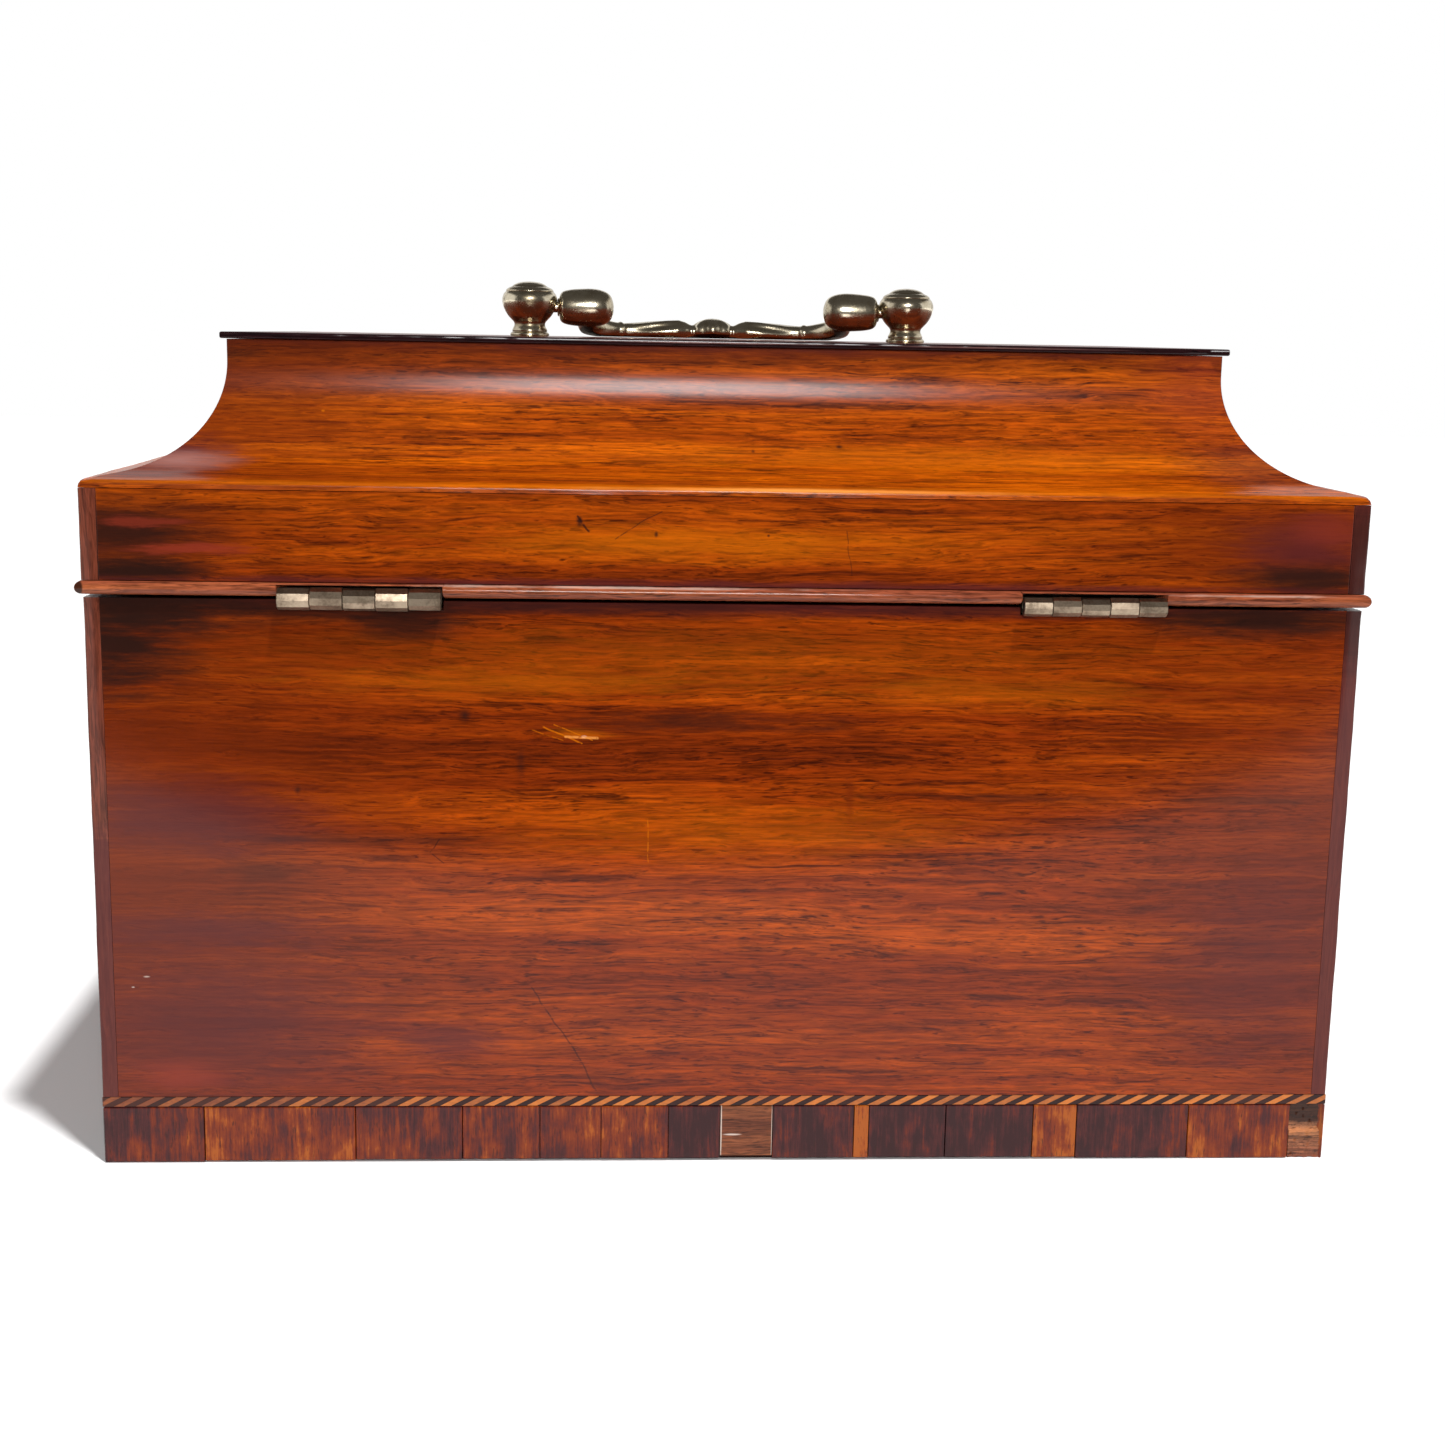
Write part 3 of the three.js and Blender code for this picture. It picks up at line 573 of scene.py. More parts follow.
back_wood = mahogany(
    "mahogany_back_wall",
    *BOX_WOOD,
    shift=1.0,
    spots=[
        (110, 56, 88, 95, 1.0, 0.2, BROWN, 0.85),
        (-112, 60, 60, 95, 1.0, 0.2, BROWN, 0.55),
        (0, 96, 130, 9, 1.0, 0.4, AMBER, 0.16),
        (35, 91, 60, 4, 1.0, 0.5, AMBER, 0.26),
        (-50, 90, 50, 4, 1.0, 0.5, AMBER, 0.24),
        (-5, 64, 60, 8, 1.0, 0.5, AMBER, 0.22),
        # Darker along the top of the wall, under the lid's bead and below the hinges.
        (0, 106.2, 200, 3.6, 0.7, 0.3, PURPLE, 0.8),
        (110, 97, 21, 14, 0.9, 0.5, GRIME_AND_SHADE, 0.97),
        (104, 104, 30, 7, 0.8, 0.4, GRIME_AND_SHADE, 0.9),
        (72, 104.5, 50, 4.6, 0.8, 0.35, GRIME_AND_SHADE, 0.75),
        (57, 101.6, 15, 4.6, 0.8, 0.4, GRIME_AND_SHADE, 0.8),
        (20, 105.4, 50, 2.8, 0.8, 0.35, GRIME_AND_SHADE, 0.55),
        (-96, 104, 34, 5.4, 0.8, 0.35, GRIME_AND_SHADE, 0.92),
        (-50, 105.4, 50, 2.6, 0.8, 0.35, GRIME_AND_SHADE, 0.4),
        # Painted shade: near-black along the foot of the wall, in the gap under the lifted banding.
        (0, 0, 300, 1.6, 0.3, 0.0, GRIME_AND_SHADE, 0.95),
        (96, 66, 30, 10, 0.9, 0.4, PURPLE, 0.7),
        (84, 56, 12, 3.4, 0.9, 0.4, GRIME_AND_SHADE, 0.45),
        (98, 45, 40, 5, 0.9, 0.5, PURPLE, 0.6),
        (92, 26, 46, 24, 1.0, 0.3, PURPLE, 0.75),
        (-102, 38, 34, 34, 1.0, 0.3, PURPLE, 0.6),
        (-6, 24, 110, 26, 1.0, 0.4, PURPLE, 0.25),
        (51, 24, 15, 5, 0.9, 0.4, PURPLE, 0.7),
        (100, 17, 12, 4, 0.9, 0.4, RED, 0.5),
        (-52, 70.3, 30, 1.3, 0.9, 0.6, GRIME_AND_SHADE, 0.5),
        (-96, 70, 24, 1.3, 0.9, 0.6, GRIME_AND_SHADE, 0.5),
        (64, 62, 34, 1.6, 0.9, 0.6, GRIME_AND_SHADE, 0.4),
        (8, 84, 46, 3.4, 0.9, 0.6, BROWN, 0.65),
        (4, 84, 34, 2.2, 0.9, 0.9, GRIME_AND_SHADE, 0.55),
        # A light scratch with a painted glint on it: a cream-orange glow about 30 mm in and 81 mm up.
        (28, 81.6, 8, 1.4, 1.0, 0.7, AMBER, 0.4),
        (26.6, 81.2, 0.7, 0.4, 1.0, 0.1, CHALK, 0.5),
        (48, 85, 1.5, 1.5, 1.0, 0.3, GRIME_AND_SHADE, 0.8),
        (78, 71, 0.9, 1.3, 1.0, 0.3, GRIME_AND_SHADE, 0.7),
        (38, 76, 1.2, 4.0, 1.0, 0.3, GRIME_AND_SHADE, 0.5),
        (-22, 70, 1.1, 7, 1.0, 0.3, BROWN, 0.5),
        (106, 36, 0.8, 0.22, 0.8, 0.1, CHALK, 0.4),
        (108.5, 34, 0.4, 0.18, 0.8, 0.1, CHALK, 0.45),
    ],
    scratches=[
        (36, 34, 33, 29, 0.24, GRIME_AND_SHADE, 0.6),
        (33, 29, 28, 22, 0.24, GRIME_AND_SHADE, 0.6),
        (28, 22, 24, 14, 0.24, GRIME_AND_SHADE, 0.6),
        (15, 66, 14.7, 58, 0.16, AMBER, 0.55),
        (52.6, 62, 54.4, 59.6, 0.2, GRIME_AND_SHADE, 0.6),
        (54.4, 59.6, 52, 57.6, 0.2, GRIME_AND_SHADE, 0.6),
        # Light scratches under that painted glint; their pale colour is partly painted highlight.
        (34, 83, 27, 80, 0.2, AMBER, 0.75),
        (32, 83.4, 25, 80.6, 0.16, AMBER, 0.65),
        (30, 81.2, 24, 81, 0.34, HONEY, 0.6),
        (36, 82.4, 30, 80.4, 0.14, AMBER, 0.5),
    ],
    chatter=[(72, 77, 13, 8), (-74, 82, 26, 7), (84, 51, 12, 7)],
)
front_wood = mahogany("mahogany_front_wall", *BOX_WOOD, shift=5.0, spots=[
    (0, 106.2, 200, 2.4, 0.5, 0.2, PURPLE, 0.7),
    (-30, 70, 70, 14, 0.9, 0.4, AMBER, 0.3),
    (60, 30, 60, 18, 0.9, 0.3, PURPLE, 0.35),
    (-104, 96, 16, 12, 0.8, 0.3, GRIME_AND_SHADE, 0.6),
    (105, 99, 14, 8, 0.8, 0.3, GRIME_AND_SHADE, 0.6),
])
side_wood = mahogany("mahogany_side_wall", *BOX_WOOD, grain="y", shift=9.0)
rim_back_wood = mahogany(
    "mahogany_back_rim",
    *RIM_WOOD,
    shift=2.4,
    spots=[
        (6, 116.5, 60, 4.5, 1.0, 0.5, AMBER, 0.45),
        (-102, 117, 52, 14, 1.0, 0.2, BROWN, 0.85),
        (106, 117, 40, 14, 1.0, 0.3, BROWN, 0.6),
        (108, 117, 25, 9, 0.9, 0.4, GRIME_AND_SHADE, 0.9),
        (106, 110.4, 26, 3.4, 0.8, 0.4, GRIME_AND_SHADE, 0.97),
        (97, 114.4, 18, 1.6, 1.0, 1.2, RED, 0.7),
        (104, 119, 11, 1.2, 1.0, 1.2, RED, 0.5),
        (-104, 117, 20, 9, 1.0, 0.4, PURPLE, 0.85),
        (0, 107.7, 200, 1.1, 0.6, 0.3, GRIME_AND_SHADE, 0.75),
        (-108, 120, 11, 4.5, 0.9, 0.4, RED, 0.35),
        (-104, 111.4, 20, 4.2, 0.8, 0.4, GRIME_AND_SHADE, 0.9),
        (0, 108.4, 200, 2.0, 0.8, 0.4, PURPLE, 0.85),
        (27.6, 120.2, 0.8, 1.4, 0.9, 0.4, GRIME_AND_SHADE, 0.9),
        (14, 118, 0.5, 0.8, 0.9, 0.2, GRIME_AND_SHADE, 0.8),
        (-6, 118, 0.4, 0.4, 0.9, 0.1, GRIME_AND_SHADE, 0.8),
        (0, 124.8, 200, 0.7, 0.9, 0.5, BROWN, 0.6),
        # Painted shade: near-black on the rim behind each hinge barrel.
        (66.35, 107.2, 16.5, 1.8, 0.5, 0.0, GRIME_AND_SHADE, 0.97),
        (-65.25, 107.2, 15.2, 1.8, 0.5, 0.0, GRIME_AND_SHADE, 0.97),
    ],
    scratches=[
        (28, 121, 26, 118.4, 0.3, GRIME_AND_SHADE, 0.8),
        (21, 117, 17, 120, 0.16, GRIME_AND_SHADE, 0.6),
        (17, 120, 13, 122, 0.16, GRIME_AND_SHADE, 0.6),
        (-20, 119, -21, 111, 0.14, GRIME_AND_SHADE, 0.5),
    ],
)
rim_front_wood = mahogany("mahogany_front_rim", *RIM_WOOD, shift=6.0, spots=[
    (0, 108.6, 200, 1.3, 0.6, 0.3, PURPLE, 0.85),
    (-104, 112, 14, 6, 0.8, 0.3, GRIME_AND_SHADE, 0.7),
    (20, 117, 50, 3.5, 0.9, 0.4, AMBER, 0.45),
])
rim_side_wood = mahogany("mahogany_side_rim", *RIM_WOOD, grain="y", shift=8.0)
cove_back_wood = mahogany(
    "mahogany_back_hollow",
    *COVE_WOOD,
    shift=3.3,
    pores=1.0,
    streaks=1.1,
    gloss=0.34,
    polish=0.2,
    spots=[
        # Painted shade: a dark band at the top of the hollow, under the lip of the top plate.
        (0, 153, 200, 6.5, 0.8, 0.4, BROWN, 0.85),
        (0, 152, 200, 3.0, 0.9, 0.4, PURPLE, 0.6),
        (98, 140, 60, 30, 1.0, 0.4, BROWN, 0.75),
        (-84, 149, 16, 6, 1.0, 0.4, RED, 0.3),
        (92, 148, 10, 3, 0.9, 0.4, GRIME_AND_SHADE, 0.5),
        (103, 130, 19, 5.5, 1.0, 0.4, PURPLE, 0.9),
        # Painted sheen: a pale milky reflection low on the hollow near its +X mitre, over purple wood.
        (100, 129.2, 15, 2.2, 1.0, 0.3, MILK, 0.4),
        (-98, 131, 20, 5, 1.0, 0.4, PURPLE, 0.6),
        (-90, 143, 18, 14, 1.0, 0.4, RED, 0.35),
        (-40, 131, 90, 4, 1.0, 0.5, AMBER, 0.3),
        # Painted highlight: a light line along the rounded arris at the foot of the hollow, brightest near
        # the middle.
        (0, 126.1, 200, 0.7, 0.9, 0.3, AMBER, 0.55),
        (-12, 126.0, 52, 0.5, 1.0, 0.3, HONEY, 0.7),
        (-20, 133, 0.9, 0.5, 0.9, 0.2, GRIME_AND_SHADE, 0.8),
        (-4, 132, 0.6, 0.5, 0.9, 0.2, GRIME_AND_SHADE, 0.7),
        (75, 138, 0.5, 0.3, 0.9, 0.1, AMBER, 0.7),
    ],
)
cove_front_wood = mahogany("mahogany_front_hollow", *COVE_WOOD, shift=7.7, pores=1.2, spots=[
    # Painted shade: a dark band at the top of the hollow, under the lip of the top plate.
    (0, 152, 200, 5.5, 0.6, 0.3, BROWN, 0.75),
    (0, 128.4, 200, 0.9, 0.7, 0.5, BROWN, 0.5),
])
cove_side_wood = mahogany("mahogany_side_hollow", *COVE_WOOD, grain="y", shift=4.1, pores=1.2)
top_wood = mahogany(
    "mahogany_top", rgb(0.15, 0.024, 0.004), rgb(0.085, 0.012, 0.003), rgb(0.028, 0.005, 0.003), shift=11.0,
)
EDGE_WOOD = (rgb(0.022, 0.006, 0.007), rgb(0.014, 0.004, 0.005), rgb(0.006, 0.002, 0.003))
cap_edge_wood = mahogany("blackened_edge", *EDGE_WOOD, shift=3.0, spots=[
    (6, CAP_TOP - 0.5, 34, 0.2, 0.9, 0.5, MILK, 0.3),
    (-50, CAP_TOP - 0.5, 30, 0.18, 0.9, 0.5, MILK, 0.25),
])
DARK_WOOD = (rgb(0.2, 0.048, 0.022), rgb(0.13, 0.03, 0.015), rgb(0.07, 0.016, 0.01))
dark_wood = mahogany(
    "dark_mahogany_edging", *DARK_WOOD, grain="z", shift=2.0, pores=0.4, streaks=0.5,
    spots=[
        (115, 20, 14, 47, 0.15, 0.1, PURPLE, 0.75),
        (-115, 60, 14, 90, 0.3, 0.1, PURPLE, 0.75),
        (-115, 110, 14, 20, 0.5, 0.2, GRIME_AND_SHADE, 0.6),
    ],
)
BEAD_WOOD = (rgb(0.33, 0.09, 0.03), rgb(0.21, 0.05, 0.022), rgb(0.08, 0.018, 0.01))
bead_wood = mahogany(
    "dark_mahogany_bead", *BEAD_WOOD, shift=5.5,
    spots=[
        # Painted shade: near-black on the bead's notches behind the hinge barrels.
        (66.35, 106.6, 15.4, 1.5, 0.2, 0.0, GRIME_AND_SHADE, 0.97),
        (-65.25, 106.6, 14.2, 1.5, 0.2, 0.0, GRIME_AND_SHADE, 0.97),
        (115.6, 107.4, 1.3, 1.6, 0.3, 0.0, GRIME_AND_SHADE, 0.9),
        # Painted highlight: thin pale lines along the top of the bead.
        (20, 108.4, 44, 0.3, 0.9, 0.8, CHALK, 0.3),
        (-95, 108.2, 22, 0.3, 0.9, 0.8, CHALK, 0.25),
    ],
)
bead_side_wood = mahogany("dark_mahogany_side_bead", *BEAD_WOOD, grain="y", shift=5.5)
INNER_WOOD = (rgb(0.36, 0.19, 0.09), rgb(0.26, 0.13, 0.06), rgb(0.12, 0.055, 0.025))
inner_wood = mahogany("inner_wood", *INNER_WOOD, gloss=0.55)
tea_wood = mahogany("mahogany_tea_lid", *BOX_WOOD, shift=13.0)

aged_brass = old_metal("aged_brass", rgb(0.74, 0.66, 0.5), rgb(0.36, 0.29, 0.18), 0.45, 0.15, 0.08)
hinge_bright = old_metal("hinge_brass_bright", rgb(0.41, 0.32, 0.23), rgb(0.18, 0.13, 0.09), 0.5, 0.3, 0.3)
hinge_dull = old_metal("hinge_brass_dull", rgb(0.42, 0.33, 0.24), rgb(0.17, 0.125, 0.085), 0.5, 0.3, 0.3)
steel = old_metal("steel", rgb(0.3, 0.29, 0.27), rgb(0.08, 0.06, 0.05), 0.45, 0.25)


def velvet_material():
    """Faded green velvet: a short nap of fine noise, rubbed patches, and sheen."""
    sheen = {"Sheen_Weight": 0.6, "Sheen_Roughness": 0.4, "Sheen_Tint": rgb(0.35, 0.5, 0.3)}
    made, b, surface, place = new_material("velvet_lining", **sheen, Specular_IOR_Level=0.1)
    rubbed = b.span(b.noise(place, scale=28.0, detail=4.0), 0.4, 0.7)
    nap = b.noise(place, scale=2600.0, detail=2.0)
    colour = b.mix(rubbed, rgb(0.02, 0.045, 0.02), rgb(0.06, 0.1, 0.045))
    b.feed(surface["Base Color"], b.mix(b.span(nap, 0.3, 0.7), colour, rgb(0.012, 0.026, 0.013)))
    b.feed(surface["Roughness"], b.span(nap, 0.0, 1.0, 0.8, 0.98))
    b.feed(surface["Normal"], b.relief(0.8, 0.0002, nap))
    return made


velvet = velvet_material()


def veneer_material():
    """Cross-cut veneer with its grain upright. A tone attribute from 0 to 1 picks each slip's colour:
    purple-black, red-brown, then orange. Clouds shift the tone inside a slip."""
    made, b, surface, place = new_material(
        "crossband_veneer", Coat_Weight=0.5, Coat_Roughness=0.14, Coat_IOR=1.5, Specular_IOR_Level=0.0
    )
    tone = b.add("ShaderNodeAttribute", attribute_name="tone").outputs["Fac"]
    mm = b.scaled(place, (1000, 1000, 1000))
    cloud = b.noise(b.scaled(mm, (0.22, 0.22, 0.13)), detail=4.0, roughness=0.6)
    fibre = b.noise(b.scaled(mm, (1.5, 1.5, 0.1)), detail=4.0, roughness=0.7)
    level = b.plus(tone, b.times(b.minus(cloud, 0.5), 1.9))
    level = b.plus(level, b.times(b.minus(fibre, 0.5), 1.6))
    ramp = b.add("ShaderNodeValToRGB", {0: level})
    stops = [
        (0.0, rgb(0.03, 0.008, 0.009)),
        (0.3, rgb(0.06, 0.012, 0.012)),
        (0.55, rgb(0.125, 0.017, 0.006)),
        (0.8, rgb(0.2, 0.032, 0.005)),
        (1.0, rgb(0.32, 0.075, 0.008)),
    ]
    elements = ramp.color_ramp.elements
    for _ in stops[2:]:
        elements.new(0.5)
    for element, (position, colour) in zip(elements, stops):
        element.position = position
        element.color = colour
    pore = b.span(b.noise(b.scaled(mm, (4.0, 4.0, 0.5)), detail=1.0), 0.62, 0.72)
    pored = b.mix(b.times(pore, 0.7), ramp.outputs[0], rgb(0.03, 0.008, 0.006))
    b.feed(surface["Base Color"], pored)
    b.feed(surface["Roughness"], b.span(fibre, 0.2, 0.8, 0.28, 0.45))
    b.feed(surface["Normal"], b.relief(0.4, 0.0001, fibre))
    return made


def rope_material(name, fresh, faded):
    """A slip of inlay: its tone attribute runs from fresh to faded, with fine fibres along it."""
    coat = {"Coat_Weight": 0.5, "Coat_Roughness": 0.14}
    made, b, surface, place = new_material(name, **coat, Specular_IOR_Level=0.0)
    tone = b.add("ShaderNodeAttribute", attribute_name="tone").outputs["Fac"]
    fibre = b.noise(b.scaled(place, (900, 900, 2600)), detail=2.0)
    shade = b.plus(tone, b.times(b.minus(fibre, 0.5), 0.8), clamp=True)
    b.feed(surface["Base Color"], b.mix(shade, fresh, faded))
    b.feed(surface["Roughness"], b.span(fibre, 0.2, 0.8, 0.3, 0.5))
    return made


veneer = veneer_material()
rope_light = rope_material("rope_light_slip", rgb(0.5, 0.15, 0.03), rgb(0.18, 0.05, 0.022))
rope_dark = rope_material("rope_dark_slip", rgb(0.02, 0.007, 0.006), rgb(0.05, 0.014, 0.009))


# ------------------------------------------------------------------ walls, edgings and the plain parts

def edging_strip(node, seed):
    """A square strip up a corner that fills its seat. Its outer edge is rounded, and rubbed more in some
    places than in others by a slow wave."""
    low, high = corners(node)
    out = np.sign(low[:2] + high[:2])
    tip = np.where(out > 0, high[:2], low[:2])
    side = (high - low)[0] + 0.24
    rows = 60
    z = np.linspace(low[2], high[2], rows)
    turn = np.linspace(0, np.pi / 2, 6)
    soft = 0.42 + 0.22 * waves(z + 50 * tip[0], seed, 40.0)[:, None]
    none, full = np.zeros((rows, 1)), np.full((rows, 1), side)
    along = np.concatenate([full, soft * (1 - np.sin(turn)), none, full], 1)
    across = np.concatenate([none, soft * (1 - np.cos(turn)), full, full], 1)
    grid = np.stack(
        [tip[0] - out[0] * along, tip[1] - out[1] * across, np.broadcast_to(z[:, None], along.shape)], -1
    )
    return closed_bar(grid)


walls = {"back": back_wood, "front": front_wood, "left": side_wood, "right": side_wood}
rims = {"back": rim_back_wood, "front": rim_front_wood, "left": rim_side_wood, "right": rim_side_wood}
for face in FACES:
    worn_copy(f"{face}_board", walls[face], 0.22)
    worn_copy(f"lid_rim_{face}", rims[face], 0.22)
for corner in ("front_left", "front_right", "back_left", "back_right"):
    for kind, body, seed in (("corner_edging", "box", 20), ("lid_edging", "lid", 30)):
        node = f"{kind}_{corner}"
        piece(f"{node}_strip", edging_strip(node, seed), dark_wood, body, [node])
for node in ("bottom_board", "well_partition"):
    worn_copy(node, inner_wood, 0.3)
for side in ("left", "right"):
    worn_copy(f"tea_lid_{side}", tea_wood, 0.5, 3)
worn_copy("lid_lining", velvet, 0.5, 3)
worn_copy("lock_case", hinge_bright, 0.12)
worn_copy("link_plate", hinge_bright, 0.12)
worn_copy("lock_bolt", steel, 0.1)
worn_copy("keyhole_escutcheon", aged_brass, 0.2)
for side in ("left", "right"):
    worn_copy(f"handle_nut_{side}", steel, 0.2)


def dress(node, material):
    """Gives a CAD node that stays a finish of its own."""
    shown = frame["nodes"][node]
    for held in shown.material_slots:
        held.material = material


for side in ("left", "right"):
    dress(f"hinge_{side}_box_leaf", hinge_dull)
    dress(f"hinge_{side}_lid_leaf", hinge_bright)
    dress(f"hinge_{side}_pin", steel)
    for part in ("box", "lid"):
        for number in (1, 2):
            dress(f"hinge_{side}_{part}_screw_{number}", hinge_bright)


# ------------------------------------------------------------------ hollow mouldings and beads of the lid

HOLLOW_RADIUS = 20.0
HOLLOW_SLOPE = math.radians(9)
ARRIS_RISE = 1.4
CAP_LIP = 1.1
UPRIGHT_INSET = LID_HALF[0] - CAP_HALF[0] + CAP_LIP
UPRIGHT_THICK = 5.6
GLUE = 0.08


def hollow_profile():
    """The hollow moulding's section as inset against height: up the rounded arris, along the run-out,
    round the hollow's arc, up the upright part, and down its plain back."""
    centre_inset = UPRIGHT_INSET - HOLLOW_RADIUS
    run_out = centre_inset + HOLLOW_RADIUS * math.sin(HOLLOW_SLOPE)
    foot, top = COVE_Z
    run_out_z = foot + ARRIS_RISE + run_out * math.tan(HOLLOW_SLOPE)
    centre_z = run_out_z + HOLLOW_RADIUS * math.cos(HOLLOW_SLOPE)
    turn = np.linspace(0, np.pi / 2 + HOLLOW_SLOPE, 9)
    rounding = 0.85
    arris_z = foot + ARRIS_RISE - rounding * 0.9
    arris = np.stack([rounding * (1 - np.cos(turn)), arris_z + rounding * np.sin(turn)], -1)
    run = np.linspace(0, 1, 5)[1:, None]
    start = arris[-1]
    flat = start + (np.array([run_out, run_out_z]) - start) * run
    sweep = np.linspace(-np.pi / 2 + HOLLOW_SLOPE, 0, 34)[1:]
    arc = np.array([centre_inset, centre_z]) + HOLLOW_RADIUS * np.stack([np.cos(sweep), np.sin(sweep)], -1)
    upright = np.array([[UPRIGHT_INSET, z] for z in np.linspace(centre_z, top, 4)[1:]])
    inner = UPRIGHT_INSET + UPRIGHT_THICK
    back = np.array([[inner, top], [inner, top - 10.8], [14.0, foot], [7.0, foot]])
    return np.vstack([[[0.0, foot]], arris, flat, arc, upright, back])


def hollow_bar(face):
    """A hollow moulding between two mitres. Each ring is the section moved along, and it is pulled in a
    little by slow waves where hands have rubbed the arris."""
    section = hollow_profile()
    share = np.linspace(1, -1, 121)[:, None]
    reach = half_length(face, LID_HALF) - section[:, 0] - GLUE
    along = share * reach
    seed = 40 + FACES.index(face)
    near_arris = np.clip(1 - section[:, 0] / 3.0, 0, 1) * (section[:, 1] > COVE_Z[0] + 0.4)
    rub = (0.07 + 0.06 * waves(along, seed, 60.0)) * near_arris
    ends = np.clip((np.abs(share) - 0.975) / 0.025, 0, 1) ** 2 * near_arris * 0.35
    height = section[:, 1] - rub - ends
    inset = section[:, 0] + 0.7 * rub + 0.6 * ends
    return closed_bar(on_face(face, LID_HALF, along, inset, height))


def bead_bar(face, notches=()):
    """A half-round bead between two mitres. Where a hinge is let in, it is squeezed to a thin strip."""
    low, high = BEAD_Z
    radius = (high - low) / 2
    turn = np.linspace(np.pi / 2, 3 * np.pi / 2, 17)
    centre = radius - 1.0
    nose = np.stack([centre + radius * np.cos(turn), low + radius + radius * np.sin(turn)], -1)
    section = np.vstack([[[1.4, low], [1.4, high]], nose])
    reach = half_length(face, LID_HALF) - section[:, 0] - GLUE
    stations = np.linspace(1, -1, 140)
    longest = reach.max()
    for start, end in notches:
        cuts = np.array([start - 0.02, start, end, end + 0.02]) / longest
        stations = np.sort(np.append(stations, cuts))[::-1]
    along = stations[:, None] * reach
    height = np.broadcast_to(section[:, 1], along.shape).copy()
    inset = np.broadcast_to(section[:, 0], along.shape).copy()
    wear = np.clip(waves(along, 70 + FACES.index(face), 35.0), 0, 1) * 0.1 * (section[:, 0] < 0.3)
    inset += wear
    for start, end in notches:
        centre_line = stations[:, None] * longest
        inside = np.broadcast_to((centre_line > start - 0.01) & (centre_line < end + 0.01), along.shape)
        height = np.where(inside, high - 0.45 + (height - low) / (high - low) * 0.45, height)
    return closed_bar(on_face(face, LID_HALF, along, inset, height))


hollows = {"back": cove_back_wood, "front": cove_front_wood, "left": cove_side_wood, "right": cove_side_wood}
hinge_spans = []
for side in ("left", "right"):
    low, high = corners(f"hinge_{side}_pin")
    hinge_spans.append((low[0] - 0.3, high[0] + 0.3))
for face in FACES:
    hollow, bead = f"lid_cove_{face}", f"lid_bead_{face}"
    piece(f"hollow_moulding_{face}", hollow_bar(face), hollows[face], "lid", [hollow])
    notches = hinge_spans if face == "back" else ()
    bead_finish = bead_wood if face in ("back", "front") else bead_side_wood
    piece(f"bead_{face}", bead_bar(face, notches), bead_finish, "lid", [bead])


def plain_block(x, y, z):
    """A plain block between two values along each axis, as a bar of two rings."""
    ring = np.array([[y[0], z[0]], [y[1], z[0]], [y[1], z[1]], [y[0], z[1]]])
    grid = np.stack([np.column_stack([np.full(4, at), ring]) for at in x])
    return closed_bar(grid)


def cap_plate():
    """The thin plate over the lid. Its edge is a rounded section carried round the rectangle, nibbled by
    short waves, with one bite out of the back at its -X end. Flat faces close its top and its underside."""
    low, high = COVE_Z[1] + 0.1, CAP_TOP
    turn = np.linspace(-np.pi / 2, np.pi / 2, 8)
    rounding = 0.34
    rise = np.where(turn < 0, low + rounding, high - rounding) + rounding * np.sin(turn)
    edge = np.stack([rounding * (1 - np.cos(turn)), rise], -1)
    section = np.vstack([[[6.0, low]], edge, [[3.0, high], [9.0, high]]])
    sides = []
    for number, face in enumerate(("back", "left", "front", "right")):
        along = np.linspace(1, -1, 121)[:-1, None] * (half_length(face, CAP_HALF) - section[:, 0])
        outer = section[:, 0] < 1.5
        nibble = 0.16 * np.clip(waves(along + 300 * number, 12, 7.0), 0, 1.2) * outer
        if face == "back":
            nibble = nibble + 0.8 * bump(along, 4 - CAP_HALF[0], 2.2) * outer
        sides.append(on_face(face, CAP_HALF, along, section[:, 0] + nibble, section[:, 1]))
    grid = np.concatenate(sides)
    rows, cols = grid.shape[:2]
    faces = grid_faces(rows, cols, wrap_rows=True)
    faces.append(list(range(0, rows * cols, cols)))
    faces.append(list(range(cols - 1, rows * cols, cols))[::-1])
    return grid.reshape(-1, 3), faces


board_half = CAP_HALF - CAP_LIP - (UPRIGHT_THICK + 0.2)
board_low = corners("lid_top_panel")[0][2]
board_x, board_y = ((-half, half) for half in board_half)
under_board = plain_block(board_x, board_y, (board_low, COVE_Z[1] + 0.3))
cap = joined([cap_plate(), under_board])
top_board = piece("top_board", cap, top_wood, "lid", ["lid_top_panel"])
top_board.data.materials.append(cap_edge_wood)
centres = np.zeros(3 * len(top_board.data.polygons))
top_board.data.polygons.foreach_get("center", centres)
centres = centres.reshape(-1, 3) / MM
BLACKENED_WIDTH = 2.4
from_edge = (CAP_HALF - np.abs(centres[:, :2])).min(axis=1)
blackened = (from_edge < BLACKENED_WIDTH) & (centres[:, 2] > COVE_Z[1])
top_board.data.polygons.foreach_set("material_index", blackened.astype(np.int32))


# ------------------------------------------------------------------ cross-banding and rope inlay

VENEER_DEPTH = 1.2


